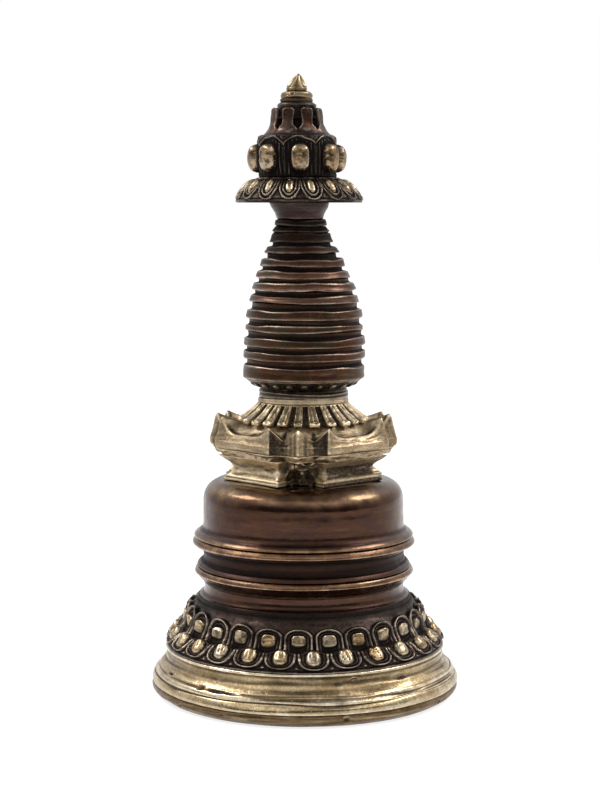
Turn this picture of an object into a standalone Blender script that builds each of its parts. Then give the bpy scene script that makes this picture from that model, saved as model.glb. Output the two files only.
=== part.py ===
"""Small table-top stupa of cast and chased metal, stacked from turned and ornamented pieces.

The object stands on z = 0 with its axis on +Z, and its front corner faces -Y.
Sizes are named in millimetres, and MM turns them into the metres of the scene.
"""

import math

import bmesh
import bpy
from mathutils import Vector

MM = 0.001
STEPS_FOOT = 40
STEPS_DRUM = 36
STEPS_SPIRE = 24
STEPS_FINIAL = 20

# Levels at which one piece stands on the next
FOOT_TOP = 2.45
PLINTH_TOP = 9.55
LOWER_PETALS_TOP = 13.2
UPPER_PETALS_TOP = 19.4
LOWER_DRUM_TOP = 22.1
LOWER_BAND_TOP = 24.95
WAIST_TOP = 29.0
UPPER_BAND_TOP = 30.75
DOME_TOP = 42.2
BLOCK_TOP = 47.0
FILLET_TOP = 48.4
CORNICE_ROOF = 53.4
SKIRT_TOP = 57.1
SKIRT_RING_TOP = 57.95
NECK_TOP = 59.75
LEAF_COLLAR_TOP = 61.7
SPIRE_TOP = 92.3
PARASOL_COLLAR_TOP = 95.45
PARASOL_TOP = 100.25
BUD_TOP = 108.3
CROWN_TOP = 113.3
FINIAL_RING_TOP = 114.6
FINIAL_BEAD_TOP = 116.65
TOTAL_HEIGHT = 120.0

# Base
PLATE_RADIUS = 25.7
PLATE_THICKNESS = 1.0
PLATE_PLAY = 0.3
FOOT_RADIUS = 30.05
FOOT_CONTACT_RADIUS = 27.9
FOOT_BELLY_LEVEL = 1.45
PLINTH_ROLL_RADIUS = 30.15
LEDGE_RADIUS = 29.7
RISER_RADIUS = 27.1
CAVITY_FOOT = 25.0
CAVITY_PETALS = 22.6
CAVITY_UPPER = 20.8
CAVITY_DRUM = 17.2

# Double lotus
LOTUS_PETALS = 26
LOWER_PETAL_TIP = 27.25
LOTUS_MEETING = 24.8
UPPER_PETAL_TIP = 22.6
LOWER_PETAL_ANGLE = 3.7
UPPER_PETAL_ANGLE = -2.7
LOTUS_BOSS = 0.35
LOTUS_GROUND = 0.35
LOTUS_FRAME = 0.4
LOTUS_GROOVE = 0.35
FRAME_PLACE = 0.67
FRAME_WIDTH = 0.3

# Drum, waist and dome
DRUM_RADIUS = 19.5
DRUM_FOOT_RADIUS = 20.6
LOWER_BAND_RADIUS = 21.4
WAIST_RADIUS = 19.5
WAIST_LIP_RADIUS = 21.0
UPPER_BAND_RADIUS = 21.75
DOME_LIP_RADIUS = 21.5
DOME_RADIUS = 19.58
DOME_SHOULDER_BOTTOM = 37.3
DOME_DECK_RADIUS = 15.2
DOME_LIP_LEVEL = 31.1
DOME_LIP_TOP = 31.65
DOME_WALL_FOOT = 33.4

# Harmika: a square stepped in at each corner. Each plan gives how far its faces, its notches and its corners
# stand from the two middle lines, how far each face and notch reaches, and how far the plan is turned. The
# faces reach further towards the left and right corners than towards the front and back ones.
BLOCK_PLAN = {
    "face": 12.85,
    "face_end": 6.7,
    "side_face_end": 7.3,
    "notch": 8.5,
    "notch_end": 6.7,
    "side_notch_end": 7.3,
    "corner": 8.5,
    "turn": -1.8,
}
CORNICE_PLAN = {
    "face": 15.5,
    "face_end": 7.4,
    "side_face_end": 8.2,
    "notch": 13.2,
    "notch_end": 9.0,
    "side_notch_end": 9.6,
    "corner": 13.0,
    "turn": -3.3,
}
BLOCK_BASE_SPREAD = 0.9
BLOCK_BASE_HEIGHT = 0.8
BLOCK_HEAD_SPREAD = 1.6
BLOCK_WAIST_LEVEL = 44.6
BLOCK_WAIST_SPREAD = -0.5
FILLET_INSET = 0.95
FILLET_FLARE = 0.5
CORNICE_BELLY_LEVEL = 49.9
CORNICE_LEAN = 0.95
CORNICE_PEAK = 53.3
CORNICE_SIDE_RISE = 1.3
CORNICE_FACE_DIP = 51.3
CORNICE_NOTCH_DIP = 50.8
CORNICE_HOLLOW = 0.3
FACE_DIVISIONS = 6

# Skirt, neck and leaf collar
SKIRT_RIBS = 25
SKIRT_ANGLE = -4.0
SKIRT_FOOT_RADIUS = 12.7
SKIRT_SEAT_RADIUS = 12.1
SKIRT_HEAD_RADIUS = 8.75
RIB_GAP_DEPTH = 1.0
SKIRT_RING_RADIUS = 8.85
NECK_RADIUS = 8.75
COLLAR_LEAVES = 22
COLLAR_HEAD_RADIUS = 11.3

# Spire: bottom level, top level, foot radius and top radius of each ring's face, from the lowest ring up
RINGS = (
    (61.75, 64.25, 11.85, 11.75),
    (65.55, 67.0, 11.9, 11.82),
    (68.1, 69.7, 11.78, 11.66),
    (70.9, 72.15, 11.52, 11.42),
    (73.35, 75.05, 11.34, 11.15),
    (76.4, 77.75, 10.75, 10.4),
    (78.65, 80.2, 10.1, 9.7),
    (81.05, 82.45, 9.26, 8.85),
    (83.25, 84.7, 8.33, 8.0),
    (85.8, 87.15, 7.36, 6.85),
    (87.9, 89.6, 6.22, 5.7),
    (89.85, 90.7, 5.5, 5.15),
    (90.95, 92.15, 5.08, 4.85),
)
LAST_GROOVE_RADIUS = 4.5
GROOVE_DEPTH = 0.6
RING_EDGE = 0.15

# Parasol
PARASOL_PETALS = 16
PARASOL_ANGLE = 13.3
PARASOL_RADIUS = 12.35
PARASOL_HEAD_RADIUS = 8.3
PARASOL_COLLAR_WAIST = 4.6
PARASOL_COLLAR_HEAD = 5.8
PARASOL_BOSS = 0.2
PARASOL_GROUND = 0.2
PARASOL_FRAME = 0.2
PARASOL_GROOVE = 0.25

# Lotus bud and its crown
BUD_PETALS = 8
BUD_ANGLE = 4.2
BUD_FOOT_RADIUS = 7.4
BUD_RADIUS = 8.05
BUD_HEAD_RADIUS = 7.2
BUD_BOSS = 1.4
CROWN_ANGLE = -20.0
CROWN_FOOT_RADIUS = 6.9
CROWN_HEAD_RADIUS = 4.95
CROWN_TIP_LEVEL = 113.6
CROWN_GAP = 1.0

# Finial
FINIAL_RING_RADIUS = 3.75
FINIAL_BEAD_RADIUS = 3.1
JEWEL_RADIUS = 2.0

# Crooked casting: each (offset, start, end) moves the axis sideways by so much between two levels
DRIFTS = (
    (-0.35, 0.0, 45.0),
    (0.22, 57.0, 67.0),
    (-0.22, 76.0, 83.0),
    (-1.25, 78.0, 108.0),
    (0.4, 117.0, 120.5),
)


def smooth_step(value, start, end):
    """Smooth rise from 0 at start to 1 at end."""
    t = min(max((value - start) / (end - start), 0.0), 1.0)
    return t * t * (3.0 - 2.0 * t)


def axis_drift(level):
    """Sideways offset of the slightly crooked axis at a level."""
    return sum(offset * smooth_step(level, start, end) for offset, start, end in DRIFTS)


def bend(start, control, end, steps=2):
    """Points of a curve that leaves start, is pulled towards control and reaches end."""
    points = []
    for step in range(steps + 1):
        t = step / steps
        radius = (1 - t) ** 2 * start[0] + 2 * t * (1 - t) * control[0] + t**2 * end[0]
        level = (1 - t) ** 2 * start[1] + 2 * t * (1 - t) * control[1] + t**2 * end[1]
        points.append((radius, level))
    return points


def hump(distance):
    """Rounded bump: 1 at distance 0, 0 from distance 1 outwards."""
    return math.cos(0.5 * math.pi * min(abs(distance), 1.0)) ** 2


def metal(name, colour, roughness, metallic=1.0):
    """Principled metal of one colour."""
    material = bpy.data.materials.new(name)
    material.use_nodes = True
    shader = material.node_tree.nodes["Principled BSDF"]
    shader.inputs["Base Color"].default_value = (*colour, 1.0)
    shader.inputs["Roughness"].default_value = roughness
    shader.inputs["Metallic"].default_value = metallic
    material.diffuse_color = (*colour, 1.0)
    return material


def finish_piece(name, mesh_builder, material, sharp_angle=32.0):
    """Make an object of a bmesh in millimetres, shift it with the axis drift and shade it."""
    for vertex in mesh_builder.verts:
        vertex.co.x += axis_drift(vertex.co.z)
        vertex.co *= MM
    bmesh.ops.recalc_face_normals(mesh_builder, faces=mesh_builder.faces)
    mesh = bpy.data.meshes.new(name)
    mesh_builder.to_mesh(mesh)
    mesh_builder.free()
    mesh.materials.append(material)
    mesh.shade_smooth()
    mesh.set_sharp_from_angle(angle=math.radians(sharp_angle))
    piece = bpy.data.objects.new(name, mesh)
    bpy.context.scene.collection.objects.link(piece)
    return piece


def spin_outline(outline, steps, first_angle=0.0):
    """Spin an outline of (radius, level) points about the axis. One off the axis is closed."""
    builder = bmesh.new()
    polar = math.radians(first_angle - 90.0)
    corners = []
    for radius, level in outline:
        corners.append(builder.verts.new((radius * math.cos(polar), radius * math.sin(polar), level)))
    edges = [builder.edges.new(pair) for pair in zip(corners, corners[1:])]
    if outline[0][0] > 0.0:
        edges.append(builder.edges.new((corners[-1], corners[0])))
    bmesh.ops.spin(
        builder,
        geom=corners + edges,
        cent=(0.0, 0.0, 0.0),
        axis=(0.0, 0.0, 1.0),
        angle=2.0 * math.pi,
        steps=steps,
        use_merge=True,
    )
    bmesh.ops.remove_doubles(builder, verts=builder.verts, dist=0.0001)
    return builder


def turned(name, outline, material, steps):
    """Turned piece."""
    return finish_piece(name, spin_outline(outline, steps), material)


def carved(name, outline, material, row, relief):
    """Turned piece whose outside is pushed out by relief(share across a petal, level).

    The share is 0 on a petal's centre line and 1 or -1 on its borders, where columns also lie.
    """
    pitch = 360.0 / row["petals"]
    border = row["angle"] + 0.5 * pitch
    builder = spin_outline(outline, row["petals"] * row["columns"], border)
    for vertex in builder.verts:
        radius = math.hypot(vertex.co.x, vertex.co.y)
        if radius <= row["inner_radius"]:
            continue
        angle = math.degrees(math.atan2(vertex.co.x, -vertex.co.y))
        turns = (angle - row["angle"]) / pitch
        share = 2.0 * (turns - round(turns))
        scale = 1.0 + relief(share, vertex.co.z) / radius
        vertex.co.x *= scale
        vertex.co.y *= scale
    return finish_piece(name, builder, material)


def plateau(distance):
    """Flat-topped bump: 1 up to distance 0.45, 0 from distance 1 outwards."""
    return 1.0 - smooth_step(abs(distance), 0.45, 1.0)


def petal_relief(share, level, row):
    """Sunk ground with a boss on the centre line, a raised frame beside it and grooves on the borders."""
    along = (level - row["bottom"]) / (row["top"] - row["bottom"])
    inside = plateau(2.0 * along - 1.0)
    boss = plateau(share / row["boss_width"]) * plateau((along - row["boss_place"]) / row["boss_length"])
    frame = hump((abs(share) - FRAME_PLACE) / FRAME_WIDTH)
    groove = hump((1.0 - abs(share)) / row["groove_width"])
    ground = inside * (row["frame"] * frame - row["groove"] * groove - row["ground"])
    return ground + (row["boss"] + row["ground"]) * boss


def base_plate(material):
    """Thin round sheet that closes the foot, level with its underside."""
    outline = [
        (0.0, 0.0),
        (PLATE_RADIUS, 0.0),
        (PLATE_RADIUS, PLATE_THICKNESS),
        (0.0, PLATE_THICKNESS),
    ]
    return turned("base_plate", outline, material, STEPS_FOOT)


def foot_band(material):
    """Rounded band that stands on the table, with a recess for the base plate."""
    recess = PLATE_RADIUS + PLATE_PLAY
    outline = [
        (recess, 0.0),
        *bend((FOOT_CONTACT_RADIUS, 0.0), (FOOT_RADIUS - 0.85, 0.45), (FOOT_RADIUS, FOOT_BELLY_LEVEL), 3),
        (FOOT_RADIUS - 0.1, FOOT_TOP - 0.15),
        (FOOT_RADIUS - 0.35, FOOT_TOP),
        (CAVITY_FOOT, FOOT_TOP),
        (CAVITY_FOOT, PLATE_THICKNESS),
        (recess, PLATE_THICKNESS),
    ]
    return turned("foot_band", outline, material, STEPS_FOOT)


def plinth(material):
    """Brass moulding: a low roll, a sloping ledge and a hollowed riser."""
    roll_top = FOOT_TOP + 1.85
    ledge_top = roll_top + 1.85
    outline = [
        (CAVITY_FOOT, FOOT_TOP),
        (PLINTH_ROLL_RADIUS - 0.45, FOOT_TOP),
        (PLINTH_ROLL_RADIUS, FOOT_TOP + 0.4),
        (PLINTH_ROLL_RADIUS - 0.05, roll_top - 0.35),
        (PLINTH_ROLL_RADIUS - 0.6, roll_top),
        (LEDGE_RADIUS, roll_top + 0.5),
        (LEDGE_RADIUS - 0.5, ledge_top - 0.5),
        (LEDGE_RADIUS - 1.4, ledge_top),
        *bend((LEDGE_RADIUS - 1.5, ledge_top + 0.1), (RISER_RADIUS + 0.1, 7.1), (RISER_RADIUS, 8.8)),
        (RISER_RADIUS, PLINTH_TOP),
        (CAVITY_PETALS, PLINTH_TOP),
    ]
    return turned("plinth", outline, material, STEPS_FOOT)


LOWER_ROW = {
    "petals": LOTUS_PETALS,
    "columns": 6,
    "angle": LOWER_PETAL_ANGLE,
    "inner_radius": CAVITY_PETALS,
    "bottom": PLINTH_TOP,
    "top": LOWER_PETALS_TOP,
    "boss": LOTUS_BOSS,
    "ground": LOTUS_GROUND,
    "frame": LOTUS_FRAME,
    "boss_place": 0.7,
    "boss_length": 0.42,
    "boss_width": 0.65,
    "groove": LOTUS_GROOVE,
    "groove_width": 0.3,
}

UPPER_ROW = {
    "petals": LOTUS_PETALS,
    "columns": 6,
    "angle": UPPER_PETAL_ANGLE,
    "inner_radius": CAVITY_UPPER,
    "bottom": LOWER_PETALS_TOP,
    "top": UPPER_PETALS_TOP - 1.9,
    "boss": LOTUS_BOSS,
    "ground": LOTUS_GROUND,
    "frame": LOTUS_FRAME,
    "boss_place": 0.32,
    "boss_length": 0.45,
    "boss_width": 0.65,
    "groove": LOTUS_GROOVE,
    "groove_width": 0.3,
}


def lower_petals(material):
    """Ring of petals that point down, over the plinth."""
    rim = (LOWER_PETAL_TIP, PLINTH_TOP + 0.4)
    meeting = (LOTUS_MEETING, LOWER_PETALS_TOP)
    outline = [
        (CAVITY_PETALS, PLINTH_TOP),
        (LOWER_PETAL_TIP - 0.1, PLINTH_TOP),
        *bend(rim, (LOWER_PETAL_TIP + 0.1, 11.9), meeting, 6),
        (CAVITY_UPPER, LOWER_PETALS_TOP),
    ]

    def relief(share, level):
        return petal_relief(share, level, LOWER_ROW)

    return carved("lower_petals", outline, material, LOWER_ROW, relief)


def upper_petals(material):
    """Ring of petals that point up, with the sloping shoulder over them."""
    petals_top = UPPER_ROW["top"]
    meeting = (LOTUS_MEETING, LOWER_PETALS_TOP)
    outline = [
        (CAVITY_UPPER, LOWER_PETALS_TOP),
        *bend(meeting, (LOTUS_MEETING - 1.4, 15.6), (UPPER_PETAL_TIP, petals_top), 6),
        (DRUM_FOOT_RADIUS + 0.15, UPPER_PETALS_TOP),
        (CAVITY_DRUM, UPPER_PETALS_TOP),
    ]

    def relief(share, level):
        return petal_relief(share, level, UPPER_ROW) if level < petals_top else 0.0

    return carved("upper_petals", outline, material, UPPER_ROW, relief)


def lower_drum(material):
    """Short drum that spreads at its foot onto the lotus."""
    outline = [
        (CAVITY_DRUM, UPPER_PETALS_TOP),
        *bend((DRUM_FOOT_RADIUS, UPPER_PETALS_TOP), (DRUM_RADIUS, 19.8), (DRUM_RADIUS, 20.9)),
        (DRUM_RADIUS + 0.3, LOWER_DRUM_TOP),
        (CAVITY_DRUM, LOWER_DRUM_TOP),
    ]
    return turned("lower_drum", outline, material, STEPS_DRUM)


def lower_band(material):
    """Projecting ring with a hollowed underside."""
    outline = [
        (CAVITY_DRUM, LOWER_DRUM_TOP),
        (DRUM_RADIUS + 0.3, LOWER_DRUM_TOP),
        (LOWER_BAND_RADIUS - 0.4, 23.3),
        (LOWER_BAND_RADIUS, 23.95),
        (LOWER_BAND_RADIUS - 0.2, 24.5),
        (LOWER_BAND_RADIUS - 0.6, LOWER_BAND_TOP),
        (CAVITY_DRUM, LOWER_BAND_TOP),
    ]
    return turned("lower_band", outline, material, STEPS_DRUM)


def waist_drum(material):
    """Hollowed waist between the two bands, with a lip that rests on the lower one."""
    outline = [
        (CAVITY_DRUM, LOWER_BAND_TOP),
        (WAIST_LIP_RADIUS - 0.4, LOWER_BAND_TOP),
        (WAIST_LIP_RADIUS, 25.3),
        (WAIST_LIP_RADIUS - 0.6, 25.9),
        *bend((WAIST_RADIUS + 0.3, 26.5), (WAIST_RADIUS - 0.3, 27.6), (WAIST_RADIUS + 0.9, WAIST_TOP)),
        (CAVITY_DRUM, WAIST_TOP),
    ]
    return turned("waist_drum", outline, material, STEPS_DRUM)


def upper_band(material):
    """Projecting ring that carries the dome."""
    outline = [
        (CAVITY_DRUM, WAIST_TOP),
        (WAIST_RADIUS + 0.9, WAIST_TOP),
        (UPPER_BAND_RADIUS - 0.3, 29.3),
        (UPPER_BAND_RADIUS, 29.65),
        (UPPER_BAND_RADIUS - 0.2, 30.2),
        (UPPER_BAND_RADIUS - 0.5, UPPER_BAND_TOP),
        (CAVITY_DRUM, UPPER_BAND_TOP),
    ]
    return turned("upper_band", outline, material, STEPS_DRUM)


def dome(material):
    """Bell-shaped dome: a flared lip, a straight wall, a round shoulder and a hollow inside."""
    wall = DOME_RADIUS - CAVITY_DRUM
    spring = (DOME_RADIUS, DOME_SHOULDER_BOTTOM)
    deck = (DOME_DECK_RADIUS, DOME_TOP)
    outline = [
        (0.0, DOME_TOP - wall),
        (CAVITY_DRUM - wall, DOME_TOP - wall),
        (CAVITY_DRUM, DOME_SHOULDER_BOTTOM),
        (CAVITY_DRUM, UPPER_BAND_TOP),
        (DOME_LIP_RADIUS - 0.5, UPPER_BAND_TOP),
        (DOME_LIP_RADIUS, DOME_LIP_LEVEL),
        (DOME_LIP_RADIUS - 0.5, DOME_LIP_TOP),
        (DOME_RADIUS + 0.3, DOME_WALL_FOOT - 1.0),
        (DOME_RADIUS, DOME_WALL_FOOT),
        *bend(spring, (DOME_RADIUS - 0.1, DOME_TOP), deck, 6),
        (0.0, DOME_TOP),
    ]
    return turned("dome", outline, material, STEPS_DRUM)


def stepped_square(plan, spread, level):
    """Corners of a square with two steps at each corner, all moved out by spread."""
    points = []
    for quarter in range(4):
        side = "side_" if quarter % 2 else ""
        face, face_end = plan["face"] + spread, plan[side + "face_end"] + spread
        notch, notch_end = plan["notch"] + spread, plan[side + "notch_end"] + spread
        corner = plan["corner"] + spread
        quadrant = [(face, face_end), (notch, notch_end), (corner, corner)]
        quadrant += [(notch_end, notch), (face_end, face)]
        turn = math.radians(90.0 * quarter - 135.0 + plan["turn"])
        for along, across in quadrant:
            x = along * math.cos(turn) - across * math.sin(turn)
            y = along * math.sin(turn) + across * math.cos(turn)
            points.append(Vector((x, y, level)))
    return points


def loft(builder, loops):
    """Join loops of as many points each by bands of faces, and close both ends."""
    rows = [[builder.verts.new(point) for point in loop] for loop in loops]
    count = len(rows[0])
    for low, high in zip(rows, rows[1:]):
        for at in range(count):
            after = (at + 1) % count
            builder.faces.new((low[at], low[after], high[after], high[at]))
    builder.faces.new(list(reversed(rows[0])))
    builder.faces.new(rows[-1])


def harmika_block(material):
    """Stepped square block whose sides are hollowed like a cotton reel."""
    base_edge = DOME_TOP + BLOCK_BASE_HEIGHT
    waist = (BLOCK_WAIST_SPREAD, BLOCK_WAIST_LEVEL)
    sections = [
        (BLOCK_BASE_SPREAD, DOME_TOP),
        (BLOCK_BASE_SPREAD - 0.1, base_edge),
        *bend((BLOCK_BASE_SPREAD - 0.6, base_edge + 0.15), (BLOCK_WAIST_SPREAD, 43.6), waist),
        *bend((waist[0] + 0.1, waist[1] + 0.5), (0.1, 45.8), (BLOCK_HEAD_SPREAD, BLOCK_TOP), 3),
    ]
    builder = bmesh.new()
    loft(builder, [stepped_square(BLOCK_PLAN, spread, level) for spread, level in sections])
    return finish_piece("harmika_block", builder, material, 25.0)


def harmika_fillet(material):
    """Hollow moulding between the block and the cornice."""
    flared = FILLET_FLARE - FILLET_INSET
    sections = bend((-FILLET_INSET, BLOCK_TOP), (-FILLET_INSET + 0.2, 47.9), (flared, FILLET_TOP))
    builder = bmesh.new()
    loft(builder, [stepped_square(CORNICE_PLAN, spread, level) for spread, level in sections])
    return finish_piece("harmika_fillet", builder, material, 25.0)


def cornice_edge(spread, levels):
    """Stepped square with each long face divided, at one level for each kind of point.

    The peaks at the left and right corners stand higher than those in front and behind by levels["side_rise"].
    """
    corners = stepped_square(CORNICE_PLAN, spread, 0.0)
    kinds = ("peak", "notch", "peak", "notch", "peak")
    for at, corner in enumerate(corners):
        kind = kinds[at % len(kinds)]
        corner.z = levels[kind]
        if kind == "peak":
            corner.z += levels["side_rise"] * (corner.x / math.hypot(corner.x, corner.y)) ** 2
    points = []
    for at, corner in enumerate(corners):
        points.append(corner)
        if at % len(kinds) < len(kinds) - 1:
            continue
        after = corners[(at + 1) % len(corners)]
        for step in range(1, FACE_DIVISIONS):
            t = step / FACE_DIVISIONS
            point = corner.lerp(after, t)
            point.z += (levels["face"] - point.z) * (1.0 - (2.0 * t - 1.0) ** 4)
            points.append(point)
    return points


def flat_levels(level):
    """One level for every kind of point."""
    return {"peak": level, "side_rise": 0.0, "notch": level, "face": level}


def harmika_cornice(material):
    """Stepped cornice whose wall leans in, with a raised point on each outer corner."""
    edge = {"peak": CORNICE_PEAK, "notch": CORNICE_NOTCH_DIP, "face": CORNICE_FACE_DIP}
    middle = {kind: 0.5 * (level + CORNICE_BELLY_LEVEL) for kind, level in edge.items()}
    edge["side_rise"] = CORNICE_SIDE_RISE
    middle["side_rise"] = 0.5 * CORNICE_SIDE_RISE
    seat_radius = SKIRT_FOOT_RADIUS - 0.8
    edge_loop = cornice_edge(-CORNICE_LEAN, edge)
    roof_loop = []
    seat_loop = []
    for point in edge_loop:
        reach = math.hypot(point.x, point.y)
        direction = Vector((point.x / reach, point.y / reach, 0.0))
        roof_reach = 0.5 * (reach + seat_radius)
        roof_level = 0.5 * (point.z + CORNICE_ROOF) - CORNICE_HOLLOW
        roof_loop.append(direction * roof_reach + Vector((0.0, 0.0, roof_level)))
        seat_loop.append(direction * seat_radius + Vector((0.0, 0.0, CORNICE_ROOF)))
    builder = bmesh.new()
    loft(
        builder,
        [
            cornice_edge(-0.5, flat_levels(FILLET_TOP)),
            cornice_edge(-0.1, flat_levels(FILLET_TOP + 0.4)),
            cornice_edge(0.0, flat_levels(CORNICE_BELLY_LEVEL)),
            cornice_edge(-0.42, middle),
            edge_loop,
            roof_loop,
            seat_loop,
        ],
    )
    return finish_piece("harmika_cornice", builder, material, 25.0)


SKIRT_ROW = {
    "petals": SKIRT_RIBS,
    "columns": 3,
    "angle": SKIRT_ANGLE,
    "inner_radius": 0.0,
}


def ribbed_skirt(material):
    """Sloping cone of ribs with deep gaps between them."""
    outline = [
        (0.0, CORNICE_ROOF),
        (SKIRT_SEAT_RADIUS - 0.6, CORNICE_ROOF),
        *bend((SKIRT_FOOT_RADIUS, 53.8), (10.4, 55.2), (SKIRT_HEAD_RADIUS, SKIRT_TOP - 0.2)),
        (SKIRT_HEAD_RADIUS - 0.3, SKIRT_TOP),
        (0.0, SKIRT_TOP),
    ]

    def relief(share, level):
        gap = hump((1.0 - abs(share)) / 0.5)
        fade = smooth_step(level, CORNICE_ROOF, CORNICE_ROOF + 0.3)
        fade *= 1.0 - smooth_step(level, SKIRT_TOP - 0.9, SKIRT_TOP - 0.2)
        return -RIB_GAP_DEPTH * gap * fade

    return carved("ribbed_skirt", outline, material, SKIRT_ROW, relief)


def bead_ring(name, radius, bottom, top, material, edge=0.35):
    """Solid ring with a rounded edge."""
    outline = [
        (0.0, bottom),
        (radius - edge, bottom),
        (radius, bottom + edge),
        (radius, top - edge),
        (radius - edge, top),
        (0.0, top),
    ]
    return turned(name, outline, material, STEPS_SPIRE)


LEAF_ROW = {
    "petals": COLLAR_LEAVES,
    "columns": 2,
    "angle": 1.0,
    "inner_radius": 0.0,
}


def leaf_collar(material):
    """Undercut collar of small leaves that carries the spire."""
    outline = [
        (0.0, NECK_TOP),
        (NECK_RADIUS - 0.4, NECK_TOP),
        (9.6, 60.4),
        (COLLAR_HEAD_RADIUS, 61.4),
        (COLLAR_HEAD_RADIUS, LEAF_COLLAR_TOP),
        (0.0, LEAF_COLLAR_TOP),
    ]

    def relief(share, level):
        is_groove = abs(share) > 0.5 and NECK_TOP + 0.2 < level < LEAF_COLLAR_TOP - 0.1
        return -0.35 if is_groove else 0.0

    return carved("leaf_collar", outline, material, LEAF_ROW, relief)


def spire_ring(number, material):
    """One ring of the spire with the groove over it, on which the next ring stands."""
    bottom, top, foot_radius, top_radius = RINGS[number]
    start = LEAF_COLLAR_TOP if number == 0 else bottom
    end = SPIRE_TOP
    groove = LAST_GROOVE_RADIUS
    if number + 1 < len(RINGS):
        end, _, next_radius, _ = RINGS[number + 1]
        groove = min(top_radius, next_radius) - min(GROOVE_DEPTH, 0.6 * (end - top) + 0.12)
    outline = [
        (0.0, start),
        (foot_radius - RING_EDGE, start),
        (foot_radius, bottom + RING_EDGE),
        (top_radius, top),
        (groove, top + 0.05),
        (groove, end),
        (0.0, end),
    ]
    return turned("spire_ring_%02d" % (number + 1), outline, material, STEPS_SPIRE)


def parasol_collar(material):
    """Flared collar that spreads up to the parasol."""
    waist = (PARASOL_COLLAR_WAIST, SPIRE_TOP + 0.5)
    head = (PARASOL_COLLAR_HEAD, PARASOL_COLLAR_TOP - 0.35)
    outline = [
        (0.0, SPIRE_TOP),
        (PARASOL_COLLAR_WAIST - 0.1, SPIRE_TOP),
        *bend(waist, (PARASOL_COLLAR_WAIST + 0.2, 93.8), head),
        (PARASOL_COLLAR_HEAD, PARASOL_COLLAR_TOP),
        (0.0, PARASOL_COLLAR_TOP),
    ]
    return turned("parasol_collar", outline, material, STEPS_SPIRE)


PARASOL_ROW = {
    "petals": PARASOL_PETALS,
    "columns": 6,
    "angle": PARASOL_ANGLE,
    "inner_radius": 0.0,
    "bottom": 95.9,
    "top": 100.1,
    "boss": PARASOL_BOSS,
    "ground": PARASOL_GROUND,
    "frame": PARASOL_FRAME,
    "boss_place": 0.62,
    "boss_length": 0.5,
    "boss_width": 0.6,
    "groove": PARASOL_GROOVE,
    "groove_width": 0.35,
}


def parasol(material):
    """Umbrella of petals that point out and down, with a thin rim."""
    head = (PARASOL_HEAD_RADIUS, PARASOL_ROW["top"] - 0.1)
    outline = [
        (0.0, PARASOL_COLLAR_TOP),
        (PARASOL_RADIUS - 0.2, PARASOL_COLLAR_TOP),
        *bend((PARASOL_RADIUS, 96.1), (11.2, 99.0), head, 6),
        (PARASOL_HEAD_RADIUS - 0.6, PARASOL_TOP),
        (0.0, PARASOL_TOP),
    ]

    def relief(share, level):
        inside = PARASOL_ROW["bottom"] < level < PARASOL_ROW["top"] - 0.01
        return petal_relief(share, level, PARASOL_ROW) if inside else 0.0

    return carved("parasol", outline, material, PARASOL_ROW, relief)


BUD_ROW = {
    "petals": BUD_PETALS,
    "columns": 8,
    "angle": BUD_ANGLE,
    "inner_radius": 0.0,
    "bottom": PARASOL_TOP + 0.3,
    "top": BUD_TOP,
    "boss": BUD_BOSS,
    "ground": 0.1,
    "frame": 0.1,
    "boss_place": 0.45,
    "boss_length": 0.48,
    "boss_width": 0.66,
    "groove": 0.15,
    "groove_width": 0.3,
}


def lotus_bud(material):
    """Closed lotus of upright petals, each with a long boss."""
    shoulder = (BUD_HEAD_RADIUS + 0.45, BUD_TOP - 0.8)
    outline = [
        (0.0, PARASOL_TOP),
        (BUD_FOOT_RADIUS, PARASOL_TOP),
        (BUD_FOOT_RADIUS + 0.2, PARASOL_TOP + 0.6),
        *bend((BUD_RADIUS - 0.2, 101.6), (BUD_RADIUS + 0.2, 104.2), shoulder, 7),
        (BUD_HEAD_RADIUS, BUD_TOP - 0.1),
        (BUD_HEAD_RADIUS - 0.2, BUD_TOP),
        (0.0, BUD_TOP),
    ]

    def relief(share, level):
        return petal_relief(share, level, BUD_ROW) if level > BUD_ROW["bottom"] else 0.0

    return carved("lotus_bud", outline, material, BUD_ROW, relief)


CROWN_ROW = {
    "petals": BUD_PETALS,
    "columns": 8,
    "angle": CROWN_ANGLE,
    "inner_radius": FINIAL_RING_RADIUS + 0.2,
}


def bud_crown(material):
    """Upper bud of upright leaves whose tips stand round the foot of the finial."""
    outline = [
        (0.0, BUD_TOP),
        (CROWN_FOOT_RADIUS, BUD_TOP),
        *bend((CROWN_FOOT_RADIUS - 0.7, BUD_TOP + 0.15), (5.1, 109.4), (CROWN_HEAD_RADIUS, 111.0), 3),
        (CROWN_HEAD_RADIUS, 112.7),
        (CROWN_HEAD_RADIUS - 0.15, CROWN_TIP_LEVEL - 0.2),
        (CROWN_HEAD_RADIUS - 0.45, CROWN_TIP_LEVEL),
        (FINIAL_RING_RADIUS + 0.35, CROWN_TOP + 0.1),
        (FINIAL_RING_RADIUS + 0.1, CROWN_TOP),
        (0.0, CROWN_TOP),
    ]

    def relief(share, level):
        gap = plateau((1.0 - abs(share)) / 0.5)
        opening = smooth_step(level, BUD_TOP + 1.3, BUD_TOP + 2.7)
        closing = smooth_step(level, CROWN_TOP - 0.6, CROWN_TOP + 0.1)
        return -CROWN_GAP * gap * opening * (1.0 - closing)

    return carved("bud_crown", outline, material, CROWN_ROW, relief)


def finial_jewel(material):
    """Pointed jewel with a narrow band at its foot."""
    band_top = FINIAL_BEAD_TOP + 0.6
    outline = [
        (0.0, FINIAL_BEAD_TOP),
        (JEWEL_RADIUS - 0.2, FINIAL_BEAD_TOP),
        (JEWEL_RADIUS, band_top),
        *bend((JEWEL_RADIUS - 0.15, band_top + 0.1), (1.35, 118.6), (0.4, TOTAL_HEIGHT - 0.2), 3),
        (0.0, TOTAL_HEIGHT),
    ]
    return turned("finial_jewel", outline, material, STEPS_FINIAL)


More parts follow.
